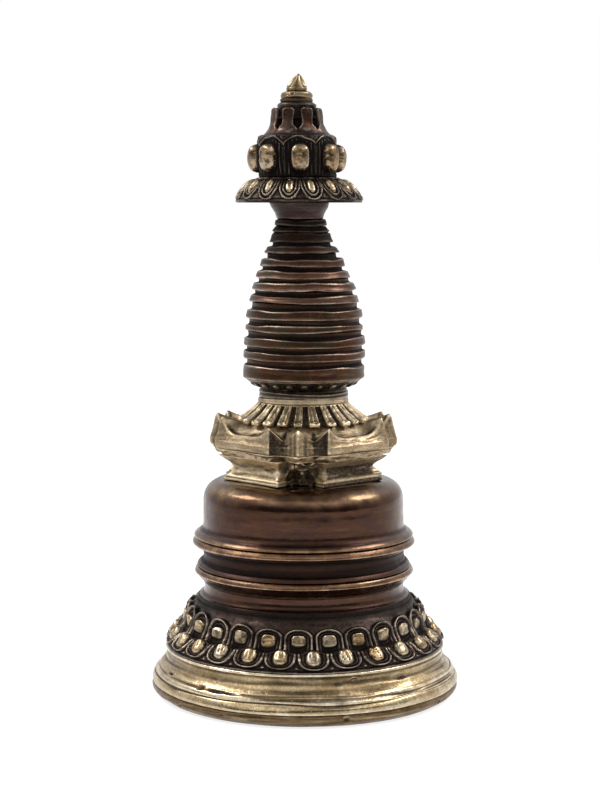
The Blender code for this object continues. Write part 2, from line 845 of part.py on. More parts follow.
for old_object in list(bpy.data.objects):
    bpy.data.objects.remove(old_object, do_unlink=True)

plinth_brass = metal("plinth_brass", (0.45, 0.32, 0.17), 0.34)
foot_brass = metal("foot_brass", (0.27, 0.18, 0.1), 0.42)
plate_copper = metal("plate_copper", (0.3, 0.14, 0.07), 0.5)
lotus_bronze = metal("lotus_bronze", (0.07, 0.05, 0.04), 0.45)
dome_bronze = metal("dome_bronze", (0.065, 0.038, 0.028), 0.36)
band_bronze = metal("band_bronze", (0.11, 0.055, 0.032), 0.36)
harmika_brass = metal("harmika_brass", (0.45, 0.33, 0.2), 0.45)
neck_bronze = metal("neck_bronze", (0.04, 0.034, 0.03), 0.45)
spire_bronze = metal("spire_bronze", (0.07, 0.034, 0.024), 0.36)
finial_brass = metal("finial_brass", (0.45, 0.34, 0.2), 0.3)

base_plate(plate_copper)
foot_band(foot_brass)
plinth(plinth_brass)
lower_petals(lotus_bronze)
upper_petals(lotus_bronze)
lower_drum(dome_bronze)
lower_band(band_bronze)
waist_drum(dome_bronze)
upper_band(band_bronze)
dome(dome_bronze)
harmika_block(harmika_brass)
harmika_fillet(harmika_brass)
harmika_cornice(harmika_brass)
ribbed_skirt(harmika_brass)
bead_ring("skirt_ring", SKIRT_RING_RADIUS, SKIRT_TOP, SKIRT_RING_TOP, harmika_brass)
bead_ring("neck_ring", NECK_RADIUS, SKIRT_RING_TOP, NECK_TOP, neck_bronze)
leaf_collar(neck_bronze)
for ring_number in range(len(RINGS)):
    spire_ring(ring_number, spire_bronze)
parasol_collar(spire_bronze)
parasol(lotus_bronze)
lotus_bud(lotus_bronze)
bud_crown(dome_bronze)
bead_ring("finial_ring", FINIAL_RING_RADIUS, CROWN_TOP, FINIAL_RING_TOP, lotus_bronze)
bead_ring("finial_bead", FINIAL_BEAD_RADIUS, FINIAL_RING_TOP, FINIAL_BEAD_TOP, finial_brass, 0.6)
finial_jewel(finial_brass)
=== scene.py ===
"""Looks of a small cast and chased stupa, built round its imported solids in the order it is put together."""

import bpy
import numpy as np
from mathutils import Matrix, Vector


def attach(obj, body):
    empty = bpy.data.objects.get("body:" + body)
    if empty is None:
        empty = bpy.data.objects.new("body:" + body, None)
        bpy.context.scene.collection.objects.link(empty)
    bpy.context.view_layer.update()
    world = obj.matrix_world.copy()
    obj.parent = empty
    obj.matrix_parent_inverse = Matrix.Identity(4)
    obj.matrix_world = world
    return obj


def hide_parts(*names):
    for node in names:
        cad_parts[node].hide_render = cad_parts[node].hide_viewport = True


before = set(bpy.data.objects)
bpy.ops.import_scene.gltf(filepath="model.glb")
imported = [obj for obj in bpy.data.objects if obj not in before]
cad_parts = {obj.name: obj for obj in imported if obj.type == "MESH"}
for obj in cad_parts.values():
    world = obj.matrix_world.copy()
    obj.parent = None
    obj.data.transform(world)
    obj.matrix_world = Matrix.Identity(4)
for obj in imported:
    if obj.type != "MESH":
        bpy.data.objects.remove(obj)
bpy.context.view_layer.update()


# Base sheet.
# A thin round sheet of copper closes the hollow foot. It is let into the underside and burnished over,
# so only its dull, scratched face shows from below.
def colour(red, green, blue):
    """One opaque colour for a socket."""
    return (red, green, blue, 1.0)


def add_node(tree, kind, sockets, **settings):
    """A new node with these settings, each input set to a value or linked to another node's output."""
    node = tree.nodes.new(kind)
    for key, value in settings.items():
        setattr(node, key, value)
    for key, value in sockets.items():
        if isinstance(value, bpy.types.NodeSocket):
            tree.links.new(value, node.inputs[key])
        else:
            node.inputs[key].default_value = value
    return node


def metal_finish(
    name, tones, edge, hollow, roughness, grain=0.5, turning=0.5, pits=0.3, stains=0.4, gilt=None, relief=6e-5
):
    """Worn, patinated metal.

    Two cloud patterns lay the three tones over each other. Two more, drawn out sideways, leave turning marks
    and dark stains. Points marked as edges take the edge colour and shine, and on some pieces this mark also
    carries painted highlights. Points marked as hollows take the dark colour and dull, as dark patina and as
    painted shade. Points marked as bosses take the gilt colour, with patches of tarnish. Grain, turning
    marks, slow hammer marks and pits are raised as bump, to a height of relief in metres.
    """
    material = bpy.data.materials.new(name)
    material.use_nodes = True
    tree = material.node_tree
    shader = tree.nodes["Principled BSDF"]

    def add(kind, sockets, **settings):
        """A new node of this finish."""
        return add_node(tree, kind, sockets, **settings)

    def noise(vector, scale, detail=3.0, crispness=0.55):
        """A cloudy pattern from 0 to 1."""
        sockets = {"Vector": vector, "Scale": scale, "Detail": detail, "Roughness": crispness}
        return add("ShaderNodeTexNoise", sockets).outputs["Fac"]

    def between(value, low, high, start=0.0, end=1.0):
        """Straight change from start at low to end at high, held at either end."""
        sockets = {"Value": value, "From Min": low, "From Max": high, "To Min": start, "To Max": end}
        return add("ShaderNodeMapRange", sockets).outputs["Result"]

    def math(operation, first, second):
        """One sum on two values."""
        return add("ShaderNodeMath", {0: first, 1: second}, operation=operation).outputs[0]

    def blend(share, first, second):
        """The first colour where share is 0, the second where it is 1."""
        sockets = {0: share, 6: first, 7: second}
        return add("ShaderNodeMix", sockets, data_type="RGBA").outputs[2]

    def marked(mark):
        """One of the marks that the piece's points carry."""
        return add("ShaderNodeAttribute", {}, attribute_name=mark).outputs["Fac"]

    # The patterns. Their scales are in cells per metre, so a larger one is finer.
    place = add("ShaderNodeTexCoord", {}).outputs["Object"]
    flat = add("ShaderNodeMapping", {"Vector": place, "Scale": (0.12, 0.12, 1.0)}).outputs["Vector"]
    cloud = noise(place, 95.0)
    mottle = noise(place, 420.0, 4.0, 0.65)
    slow = noise(place, 420.0, 1.0, 0.5)
    speck = noise(place, 2300.0, 3.0)
    turned = noise(flat, 1300.0, 3.0, 0.6)
    stain = between(noise(flat, 420.0, 5.0, 0.7), 0.52, 0.66)
    pitted = between(noise(place, 1150.0, 2.0), 0.66, 0.76)
    wear_and_highlight = marked("wear_and_highlight")
    grime_and_shade = marked("grime_and_shade")

    # Colour: the tones, turning marks, stains and grain, then bare bosses, worn edges with painted
    # highlights, and dirt with painted shade in the hollows.
    skin = blend(between(cloud, 0.42, 0.6), colour(*tones[0]), colour(*tones[1]))
    skin = blend(between(mottle, 0.5, 0.66), skin, colour(*tones[2]))
    skin = blend(between(turned, 0.55, 0.75, 0.0, 0.45 * turning), skin, colour(*edge))
    skin = blend(between(turned, 0.3, 0.44, 0.6 * turning, 0.0), skin, colour(*hollow))
    skin = blend(math("MULTIPLY", stain, stains), skin, colour(*hollow))
    skin = blend(between(speck, 0.35, 0.6, min(0.12 + 0.35 * grain, 0.4), 0.0), skin, colour(*hollow))
    if gilt:
        aged = colour(0.74 * gilt[0], 0.62 * gilt[1], 0.45 * gilt[2])
        gold = blend(between(cloud, 0.42, 0.58), aged, colour(*gilt))
        tarnish = between(noise(place, 900.0, 3.0, 0.6), 0.47, 0.64, 0.0, 0.75)
        gold = blend(tarnish, gold, colour(*hollow))
        skin = blend(marked("boss"), skin, gold)
    worn_and_highlit = math("MULTIPLY", wear_and_highlight, between(mottle, 0.35, 0.6, 0.3, 1.0))
    worn_and_highlit = math("MULTIPLY", worn_and_highlit, between(cloud, 0.38, 0.58, 0.35, 1.0))
    skin = blend(worn_and_highlit, skin, colour(*edge))
    dirt_and_shade = math("MULTIPLY", grime_and_shade, between(speck, 0.3, 0.65, 1.0, 0.85))
    dirt_and_shade = math("MAXIMUM", dirt_and_shade, math("MULTIPLY", pitted, pits))
    tree.links.new(blend(dirt_and_shade, skin, colour(*hollow)), shader.inputs["Base Color"])

    # Shine: worn edges, painted highlights and bosses are smoother, and dirt and painted shade are dull and
    # hardly metallic.
    dull = between(cloud, 0.35, 0.65, roughness - 0.05, roughness + 0.07)
    dull = math("ADD", dull, between(mottle, 0.35, 0.65, -0.05, 0.06))
    dull = math("SUBTRACT", dull, math("MULTIPLY", worn_and_highlit, 0.1))
    if gilt:
        dull = math("SUBTRACT", dull, math("MULTIPLY", marked("boss"), 0.1))
    tree.links.new(math("ADD", dull, math("MULTIPLY", dirt_and_shade, 0.4)), shader.inputs["Roughness"])
    tree.links.new(between(dirt_and_shade, 0.4, 1.0, 1.0, 0.4), shader.inputs["Metallic"])
    shader.inputs["Specular IOR Level"].default_value = 0.1

    # Fine relief.
    height = math("ADD", math("MULTIPLY", speck, grain), math("MULTIPLY", turned, turning))
    height = math("ADD", height, math("MULTIPLY", mottle, 1.4 * grain))
    height = math("ADD", height, slow)
    height = math("SUBTRACT", height, math("MULTIPLY", pitted, 2.0 * pits))
    raised = add("ShaderNodeBump", {"Height": height, "Strength": 1.0, "Distance": relief})
    tree.links.new(raised.outputs["Normal"], shader.inputs["Normal"])
    return material


COPPER_TONES = ((0.3, 0.14, 0.07), (0.22, 0.11, 0.07), (0.14, 0.09, 0.06))
plate_copper = metal_finish(
    "dull_sheet_copper", COPPER_TONES, edge=(0.5, 0.3, 0.2), hollow=(0.03, 0.02, 0.015), roughness=0.5
)
for material_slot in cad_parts["base_plate"].material_slots:
    material_slot.material = plate_copper


# Foot band.
# The lowest moulding of the cast base: a browned, rounded band that stands on the table. Its edge is uneven
# from the mould and worn bright along the top.
# Sizes are in mm and angles in degrees, up to the mesh itself, which is in metres.
MM = 0.001
TURN = 2.0 * np.pi
CORNER_POINTS = 9
CORNER_SHARE = 0.49
# Wear is read from how far a point stands out over the surface within a reach.
EDGE_REACH = 0.35
EDGE_HEIGHT = 0.05
SWELL_REACH = 1.1
SWELL_HEIGHT = 0.35
HOLLOW_DEPTH = 0.2
CLEAN_SHARE = 0.2
LIP_HEIGHT = 0.18
FOOT_COLUMNS = 360


def ease(value, start, end):
    """Smooth rise from 0 at start to 1 at end."""
    share = np.clip((value - start) / (end - start), 0.0, 1.0)
    return share * share * (3.0 - 2.0 * share)


def lean(level):
    """Sideways offset of the crooked casting: smooth steps low down, a large one high up, and a bent tip.

    Each step is a smooth rise from one level to another.
    """
    low = -0.35 * ease(level, 0.0, 45.0) + 0.22 * (ease(level, 57.0, 67.0) - ease(level, 76.0, 83.0))
    return low - 1.25 * ease(level, 78.0, 108.0) + 0.4 * ease(level, 117.0, 120.5)


def run_of(outline):
    """Length in mm along an outline up to each of its points, as a column."""
    return np.concatenate(([0.0], np.cumsum(np.hypot(*np.diff(outline, axis=0).T))))[:, None]


def moulding(corners, spacing):
    """Outline in even steps through (radius, level, rounding) corners in mm, each turned with a parabola.

    The parabola starts and ends at the rounding's distance from its corner, or just under half of a side.
    """
    sharp = np.array([corner[:2] for corner in corners], float)
    share = np.linspace(0.0, 1.0, CORNER_POINTS)[:, None]
    line = [sharp[:1]]
    for before, here, after, corner in zip(sharp, sharp[1:], sharp[2:], corners[1:]):
        arms = [before - here, after - here]
        lengths = [np.hypot(*arm) for arm in arms]
        cuts = [min(corner[2], CORNER_SHARE * length) for length in lengths]
        start, end = (here + arm / length * cut for arm, length, cut in zip(arms, lengths, cuts))
        line.append((1 - share) ** 2 * start + 2 * share * (1 - share) * here + share**2 * end)
    line = np.concatenate(line + [sharp[-1:]])
    run = run_of(line)[:, 0]
    even = np.linspace(0.0, run[-1], max(int(np.ceil(run[-1] / spacing)), 2) + 1)
    return np.stack((np.interp(even, run, line[:, 0]), np.interp(even, run, line[:, 1])), axis=1)


def round_the_axis(columns, first=0.0):
    """Even angles in degrees, counted from the front corner towards the right."""
    return first + 360.0 * np.arange(columns) / columns


def turned_points(outline, degrees, push=0.0):
    """Points of an outline turned about the crooked axis, moved off it along its own normal by push.

    A point's place is its radius times the sine and the cosine of its angle, plus the lean at its level.
    """
    way = np.gradient(outline, axis=0)
    way /= np.hypot(way[:, 0], way[:, 1])[:, None] + 1e-9
    radius = outline[:, 0, None] + way[:, 1, None] * push
    level = outline[:, 1, None] - way[:, 0, None] * push
    radius, level, angle = np.broadcast_arrays(radius, level, np.radians(degrees))
    return np.stack((radius * np.sin(angle) + lean(level), -radius * np.cos(angle), level), axis=-1)


def soften(values, steps, axis, wraps):
    """Average over so many steps either side, three times over, which comes near a bell curve."""
    if steps < 1:
        return values
    width = [(0, 0)] * values.ndim
    width[axis] = (steps + 1, steps)
    count = values.shape[axis]
    for _ in range(3):
        sums = np.cumsum(np.pad(values, width, mode="wrap" if wraps else "edge"), axis=axis)
        upper = np.take(sums, np.arange(2 * steps + 1, 2 * steps + 1 + count), axis=axis)
        values = (upper - np.take(sums, np.arange(count), axis=axis)) / (2 * steps + 1)
    return values


def dents(shape, rows, columns, seed):
    """Random height at each point, softened over so many rows and columns, with a spread of one."""
    height = np.random.default_rng(seed).standard_normal(shape)
    height = soften(soften(height, rows, 0, False), columns, 1, True)
    return height / height.std()


def normals_of(points):
    """Outward direction at each point of a grid whose columns run round the axis."""
    around = np.roll(points, -1, axis=1) - np.roll(points, 1, axis=1)
    normal = np.cross(around, np.gradient(points, axis=0))
    return normal / (np.linalg.norm(normal, axis=-1, keepdims=True) + 1e-12)


def stand_out(points, reach):
    """Height in mm of each point over the average of the surface within reach, so hollows are below 0."""
    down = np.linalg.norm(np.diff(points, axis=0), axis=-1).mean()
    across = np.linalg.norm(np.roll(points, -1, axis=1) - points, axis=-1).mean()
    average = soften(points, int(round(0.5 * reach / down)), 0, False)
    average = soften(average, int(round(0.5 * reach / across)), 1, True)
    return ((points - average) * normals_of(points)).sum(-1)


def wear_grime_and_shade(points, keen, soft, still):
    """Two shares from 0 to 1 at each point of a grid: metal rubbed bright, and dirt and painted shade in
    hollows.

    Wear is keen times the height of edges and, by soft, of broad swellings, less still everywhere. Grime is
    the depth of hollows, less a share that stays clean; it darkens them as patina and as painted shade.
    """
    edge = stand_out(points, EDGE_REACH)
    swell = stand_out(points, SWELL_REACH)
    wear_and_highlight = keen * (edge / EDGE_HEIGHT + soft * swell / SWELL_HEIGHT) - still
    grime_and_shade = -(edge / EDGE_HEIGHT + swell / HOLLOW_DEPTH) - CLEAN_SHARE
    return np.clip(wear_and_highlight, 0.0, 1.0), np.clip(grime_and_shade, 0.0, 1.0)


def bored(points, inner):
    """The grid with its first and its last row carried in, level, to the two radii of a bore."""
    caps = []
    for row, radius in ((points[0], inner[0]), (points[-1], inner[1])):
        level = row[:, 2].mean()
        middle = np.array([lean(level), 0.0, 0.0])
        arm = (row - middle) * (1.0, 1.0, 0.0)
        arm *= radius / np.linalg.norm(arm, axis=-1, keepdims=True)
        caps.append(arm + middle + (0.0, 0.0, level))
    return np.concatenate((caps[0][None], points, caps[1][None]))


def closed_mesh(name, points, marks, inner):
    """Closed mesh of a grid of points in mm whose columns run round the axis, with its marks as attributes.

    With inner radii the first and the last row are carried in to a bore and joined along it. Without them
    each is closed by a fan of triangles round its own middle.
    """
    if inner is not None:
        points = bored(points, inner)
        marks = {key: np.pad(value, ((1, 1), (0, 0))) for key, value in marks.items()}
    rows, columns = points.shape[:2]
    index = np.arange(rows * columns).reshape(rows, columns)
    low, high = (index, np.roll(index, -1, axis=0)) if inner is not None else (index[:-1], index[1:])
    quads = np.stack((low, np.roll(low, -1, axis=1), np.roll(high, -1, axis=1), high), axis=-1)
    triangles = np.zeros((0, 3), int)
    vertices = points.reshape(-1, 3)
    marks = {key: value.ravel() for key, value in marks.items()}
    if inner is None:
        first, last = index[0], index[-1]
        poles = np.stack((points[0].mean(axis=0), points[-1].mean(axis=0)))
        vertices = np.concatenate((vertices, poles))
        marks = {key: np.pad(value, (0, 2)) for key, value in marks.items()}
        bottom = np.stack((np.roll(first, -1), first, np.full(columns, index.size)), axis=-1)
        top = np.stack((last, np.roll(last, -1), np.full(columns, index.size + 1)), axis=-1)
        triangles = np.concatenate((bottom, top))
    sizes = np.concatenate((np.full(quads.size // 4, 4), np.full(len(triangles), 3)))
    corners = np.concatenate((quads.ravel(), triangles.ravel()))
    mesh = bpy.data.meshes.new(name)
    mesh.vertices.add(len(vertices))
    mesh.vertices.foreach_set("co", (vertices * MM).astype(np.float32).ravel())
    mesh.loops.add(len(corners))
    mesh.loops.foreach_set("vertex_index", corners.astype(np.int32))
    mesh.polygons.add(len(sizes))
    mesh.polygons.foreach_set("loop_start", np.concatenate(([0], np.cumsum(sizes)[:-1])).astype(np.int32))
    mesh.update(calc_edges=True)
    mesh.shade_smooth()
    for key, value in marks.items():
        mesh.attributes.new(key, "FLOAT", "POINT").data.foreach_set("value", value.astype(np.float32))
    return mesh


def set_piece(
    name, points, finish, inner=None, keen=1.0, soft=0.5, still=0.25, boss=0.0, dirt_and_shade=0.0, rub_and_highlight=0.0
):
    """Make a closed piece of a grid of points in mm, mark its wear, and let it replace its node.

    The rub and dirt shares are added to the wear and grime that keen, soft and still give, and on some pieces
    they are painted highlight and painted shade. Boss is the share of bare metal.
    """
    wear_and_highlight, grime_and_shade = wear_grime_and_shade(points, keen, soft, still)
    marks = {
        "wear_and_highlight": np.clip(wear_and_highlight + rub_and_highlight, 0.0, 1.0),
        "grime_and_shade": np.clip(grime_and_shade + dirt_and_shade, 0.0, 1.0),
        "boss": np.broadcast_to(boss, wear_and_highlight.shape),
    }
    mesh = closed_mesh(name, points, marks, inner)
    mesh.materials.append(finish)
    piece = bpy.data.objects.new(name + "_skin", mesh)
    bpy.context.scene.collection.objects.link(piece)
    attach(piece, "root")
    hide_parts(name)


def pitted_at(outline, degrees, spots):
    """Push of small craters, given as (angle, level, half width, half height, depth) each.

    The push is a flat-bottomed hollow less a share of a bell-shaped ring just outside it, a faint raised lip.
    """
    push = np.zeros((len(outline), len(degrees)))
    for angle, level, width, height, depth in spots:
        off = (degrees - angle + 180.0) % 360.0 - 180.0
        across = np.radians(off) * outline[:, 0, None] / width
        far = np.hypot(across, (outline[:, 1, None] - level) / height)
        push += depth * (LIP_HEIGHT * np.exp(-(((far - 1.3) / 0.3) ** 2)) - np.exp(-(far**4)))
    return push


FOOT_TONES = ((0.13, 0.082, 0.039), (0.19, 0.125, 0.064), (0.075, 0.041, 0.018))
foot_brass = metal_finish(
    "browned_foot_brass",
    FOOT_TONES,
    edge=(0.75, 0.57, 0.36),
    hollow=(0.03, 0.018, 0.01),
    roughness=0.38,
    grain=0.9,
    turning=0.4,
    pits=0.6,
    stains=0.55,
)

# The band is pushed in by its dents and craters, which die away towards its two seats.
foot_line = moulding(
    [
        (27.9, 0.0, 0),
        (28.2, 0.06, 0.1),
        (29.45, 0.72, 0.7),
        (30.05, 1.4, 0.5),
        (29.92, 2.15, 0.3),
        (29.6, 2.45, 0),
    ],
    0.16,
)
foot_round = round_the_axis(FOOT_COLUMNS)
foot_shape = (len(foot_line), FOOT_COLUMNS)
foot_free = ease(run_of(foot_line), 0.1, 0.6) * (1.0 - ease(foot_line[:, 1, None], 2.2, 2.45))
foot_push = 0.035 * dents(foot_shape, 3, 9, 11) + 0.03 * dents(foot_shape, 1, 3, 12) - 0.06
foot_pits = [
    (14.7, 1.43, 0.62, 0.6, 0.3),
    (58.0, 1.2, 0.3, 0.7, 0.2),
    (-31.0, 1.6, 0.5, 0.25, 0.15),
    (-52.0, 1.3, 0.3, 0.3, 0.2),
]
foot_craters = pitted_at(foot_line, foot_round, foot_pits)
set_piece(
    "foot_band",
    turned_points(foot_line, foot_round, (foot_push + foot_craters) * foot_free),
    foot_brass,
    inner=(25.75, 25.0),
    keen=0.7,
    soft=0.2,
    dirt_and_shade=np.clip(-3.0 * foot_craters, 0.0, 0.7),
)


# Plinth.
# Silvery brass, cast with the base and turned on a lathe: a low roll, a bright sloping ledge and a hollowed
# riser with a raised line at its top. Casting flaws and old stains were left in it.
PLINTH_TONES = ((0.5, 0.38, 0.22), (0.38, 0.265, 0.135), (0.58, 0.46, 0.285))
plinth_brass = metal_finish(
    "turned_plinth_brass",
    PLINTH_TONES,
    edge=(0.95, 0.85, 0.68),
    hollow=(0.02, 0.011, 0.006),
    roughness=0.21,
    grain=0.5,
    turning=0.1,
    pits=0.45,
    stains=0.55,
)
plinth_line = moulding(
    [
        (29.55, 2.45, 0),
        (30.0, 2.6, 0.25),
        (30.1, 3.3, 0.6),
        (29.75, 4.1, 0.3),
        (29.45, 4.3, 0.15),
        (29.62, 4.6, 0.3),
        (29.0, 5.55, 0.6),
        (28.55, 5.75, 0.15),
        (28.45, 6.0, 0.2),
        (27.3, 6.9, 1.2),
        (27.02, 8.7, 0.6),
        (27.1, 8.9, 0.1),
        (27.28, 9.2, 0.25),
        (27.1, 9.5, 0.15),
        (26.9, 9.55, 0),
    ],
    0.15,
)
plinth_round = round_the_axis(FOOT_COLUMNS)
plinth_shape = (len(plinth_line), FOOT_COLUMNS)
plinth_level = plinth_line[:, 1, None]
plinth_free = ease(run_of(plinth_line), 0.1, 0.5) * (1.0 - ease(plinth_level, 9.35, 9.55))

# The ledge is the most dented part, and the lines along it wander up and down.
ledge = ease(plinth_level, 4.35, 4.8) * (1.0 - ease(plinth_level, 5.4, 5.7))
plinth_push = 0.02 * dents(plinth_shape, 1, 30, 21) + 0.07 * dents(plinth_shape, 5, 16, 22) - 0.08
plinth_push = plinth_push + 0.015 * dents(plinth_shape, 2, 3, 23)
plinth_push = plinth_push + 0.2 * dents(plinth_shape, 4, 14, 24) * ledge
plinth_push = plinth_push + 0.06 * dents(plinth_shape, 3, 5, 28) * (0.25 + 0.75 * ledge)
plinth_flaws = [
    (-42.5, 5.72, 0.42, 0.42, 0.5),
    (-34.5, 5.66, 2.1, 0.26, 0.4),
    (-29.0, 5.58, 1.9, 0.16, 0.35),
    (-65.0, 6.1, 0.9, 0.22, 0.35),
    (19.3, 8.4, 0.4, 0.16, 0.25),
    (131.0, 5.7, 0.5, 0.35, 0.4),
    (172.0, 5.6, 1.7, 0.2, 0.3),
]
plinth_craters = pitted_at(plinth_line, plinth_round, plinth_flaws)
plinth_points = turned_points(plinth_line, plinth_round, (plinth_push + plinth_craters) * plinth_free)
plinth_wander = 0.18 * dents(plinth_shape, 4, 14, 25) + 0.1 * dents(plinth_shape, 2, 6, 26)
plinth_points[..., 2] += plinth_wander * ease(plinth_level, 2.8, 4.2) * (1.0 - ease(plinth_level, 6.3, 8.0))
plinth_stains = [
    (12.6, 5.1, 1.9, 0.7, 1.0),
    (12.8, 7.5, 1.1, 0.4, 1.0),
    (41.2, 7.28, 1.2, 0.5, 1.0),
    (-58.0, 4.2, 2.2, 0.5, 1.0),
    (-9.0, 7.9, 4.5, 0.55, 0.5),
    (22.0, 7.7, 2.6, 0.5, 0.5),
    (62.0, 7.8, 4.0, 0.6, 0.5),
    (-36.0, 7.3, 2.5, 0.35, 0.5),
]
plinth_stain = np.clip(-pitted_at(plinth_line, plinth_round, plinth_stains), 0.0, 1.0)
# The ledge is rubbed bright in wavy patches, partly wear and partly a painted highlight.
set_piece(
    "plinth",
    plinth_points,
    plinth_brass,
    inner=(25.0, 22.6),
    keen=0.8,
    soft=0.25,
    dirt_and_shade=np.clip(-5.0 * plinth_craters, 0.0, 1.0) + 0.6 * plinth_stain,
    rub_and_highlight=ledge * np.clip(0.3 + 0.3 * dents(plinth_shape, 3, 14, 27), 0.0, 0.7),
)


# Lotus base, lower row.
# A cast bronze ring of petals that point down, blackened in the hollows. Each has a bright boss with file
# cuts across it, in a double line chased as a U, and small tips of the row behind show between them.
LOTUS_PETALS = 26
PETAL_COLUMNS = 29
PETAL_DRAWS = 8
ROWS_MEET = 13.2
INNER_LINE = 0.58
LOWER_FIRST = 3.7
LOWER_FRAME_AT = 3.1
LOWER_FRAME_WIDE = 2.72
LOWER_FRAME_LONG = 2.3
LOWER_BOSS_AT = 3.2
LOWER_BOSS_WIDE = 1.42
LOWER_BOSS_LONG = 1.5


def across_petals(degrees, count, first):
    """Number of the petal at each angle, and the share of its half width: 0 in its middle, 1 on a border."""
    turns = (degrees - first) / (360.0 / count)
    return np.round(turns).astype(int) % count, 2.0 * (turns - np.round(turns))


def hand_shares(seed, petals, draws, petal):
    """Random shares from -1 to 1, so many draws a petal, as rows over the columns that each petal covers."""
    return np.random.default_rng(seed).uniform(-1.0, 1.0, (petals, draws))[petal].T


def bump(distance, width):
    """Bell-shaped line of height one along distance 0."""
    return np.exp(-((distance / width) ** 2))


def oval(across, along, power):
    """Distance from the centre of a rounded square of half size one: rounder with a power near two."""
    return (np.abs(across) ** power + np.abs(along) ** power) ** (1.0 / power)


def double_line(off):
    """Push of a petal's frame at a distance off its line, which is below 0 towards the boss.

    It is the sum of a bell-shaped ridge on the line, a fine one inside it, a groove beside each, and the
    ground, which sinks further round the boss and outside.
    """
    ground = -0.27 - 0.2 * ease(-off, 0.72, 0.95) - 0.22 * ease(off, 0.15, 0.4)
    ridges = 0.42 * bump(off + 0.06, 0.17) + 0.1 * bump(off + INNER_LINE, 0.1)
    return ground + ridges - 0.3 * bump(off + 0.34, 0.12) - 0.16 * bump(off - 0.36, 0.16)


def frame_keen(off):
    """Wear that a petal's frame takes at a distance off its line: one, less a bell on the inner ridge."""
    return 1.0 - 0.6 * bump(off + INNER_LINE, 0.2)


def nested(points, degrees):
    """Lift the border of the two rows over each lower petal and drop it between them, as a cosine."""
    wave = np.cos(np.radians(LOTUS_PETALS * (degrees - LOWER_FIRST)))
    points[..., 2] += 0.4 * wave * bump(points[..., 2] - ROWS_MEET, 1.0)
    return points


def facet(across, along, hand, tilt):
    """Height of a flat cut over a boss of half size one, turned and tilted by two shares from -1 to 1."""
    way = np.pi * hand[0]
    return tilt * (1.0 + 0.4 * hand[1]) * (np.cos(way) * across + np.sin(way) * along)


LOTUS_TONES = ((0.036, 0.024, 0.02), (0.05, 0.033, 0.027), (0.026, 0.02, 0.018))
lotus_bronze = metal_finish(
    "blackened_lotus_bronze",
    LOTUS_TONES,
    edge=(0.52, 0.42, 0.32),
    hollow=(0.004, 0.003, 0.0025),
    roughness=0.34,
    grain=0.8,
    turning=0.0,
    pits=0.5,
    stains=0.5,
    gilt=(0.72, 0.58, 0.38),
)
lower_line = moulding(
    [
        (26.9, 9.55, 0),
        (27.15, 9.62, 0.1),
        (27.3, 10.9, 1.8),
        (25.8, 12.35, 1.2),
        (24.95, 13.1, 0.1),
        (24.75, 13.2, 0),
    ],
    0.12,
)

# Along and across are mm from each petal's root and middle. Its frame and its boss are distances from ovals,
# and every petal has its own small errors of the hand.
lower_round = round_the_axis(LOTUS_PETALS * PETAL_COLUMNS, LOWER_FIRST)
lower_petal, lower_share = across_petals(lower_round, LOTUS_PETALS, LOWER_FIRST)
hand = hand_shares(5, LOTUS_PETALS, PETAL_DRAWS, lower_petal)
along = run_of(lower_line) - 0.25 + 0.07 * hand[0]
half_pitch = np.pi * lower_line[:, 0, None] / LOTUS_PETALS
across = lower_share * half_pitch + 0.1 * hand[1]
frame_along = np.clip(LOWER_FRAME_AT - along, 0.0, None) / LOWER_FRAME_LONG
frame_far = oval(across / (LOWER_FRAME_WIDE + 0.06 * hand[2]), frame_along, 2.5)
frame_off = (frame_far - 1.0) * 2.4

# The boss is domed and cut by one flat. File cuts cross it aslant, and tips fill the corners at the root.
boss_along = (along - LOWER_BOSS_AT - 0.1 * hand[4]) / (LOWER_BOSS_LONG + 0.1 * hand[5])
boss_far = oval(across / (LOWER_BOSS_WIDE + 0.08 * hand[3]), boss_along, 2.5)
boss = 0.8 * np.sqrt(np.clip(1.0 - boss_far**2.8, 0.0, 1.0)) - 0.42
flat = facet(across / 1.4, (along - LOWER_BOSS_AT) / LOWER_BOSS_LONG, hand[2:4], 0.26)
boss = np.minimum(boss, 0.28 + flat)
cuts = across + (0.2 + 0.25 * hand[6]) * (along - 3.1) + 0.2 * hand[4]
cuts = bump(np.sin(np.pi * cuts / (0.78 + 0.08 * hand[7])), 0.36) * (0.65 + 0.35 * hand[5])
cuts = cuts * np.clip(1.25 - boss_far, 0.0, 1.0)
border = (1.0 - np.abs(lower_share)) * half_pitch
tips = np.clip(1.0 - border / 0.55 - np.abs(along - 0.95) / 0.5, 0.0, 1.0)
push = double_line(frame_off) + 0.4 * tips
push = np.maximum(push, boss) - 0.25 * cuts * (boss > -0.2)
push = push + 0.025 * dents(push.shape, 2, 3, 31) + 0.035 * dents(push.shape, 7, 14, 32)
push *= ease(along, 0.0, 0.4) * (1.0 - 0.6 * ease(lower_line[:, 1, None], 12.9, 13.15))
set_piece(
    "lower_petals",
    nested(turned_points(lower_line, lower_round, push), lower_round),
    lotus_bronze,
    inner=(22.6, 20.8),
    keen=0.65 * frame_keen(frame_off),
    soft=0.1,
    still=0.5,
    boss=np.clip((boss + 0.35) / 0.2, 0.0, 1.0) * (0.85 + 0.15 * hand[2]) * (1.0 - 0.9 * cuts),
)


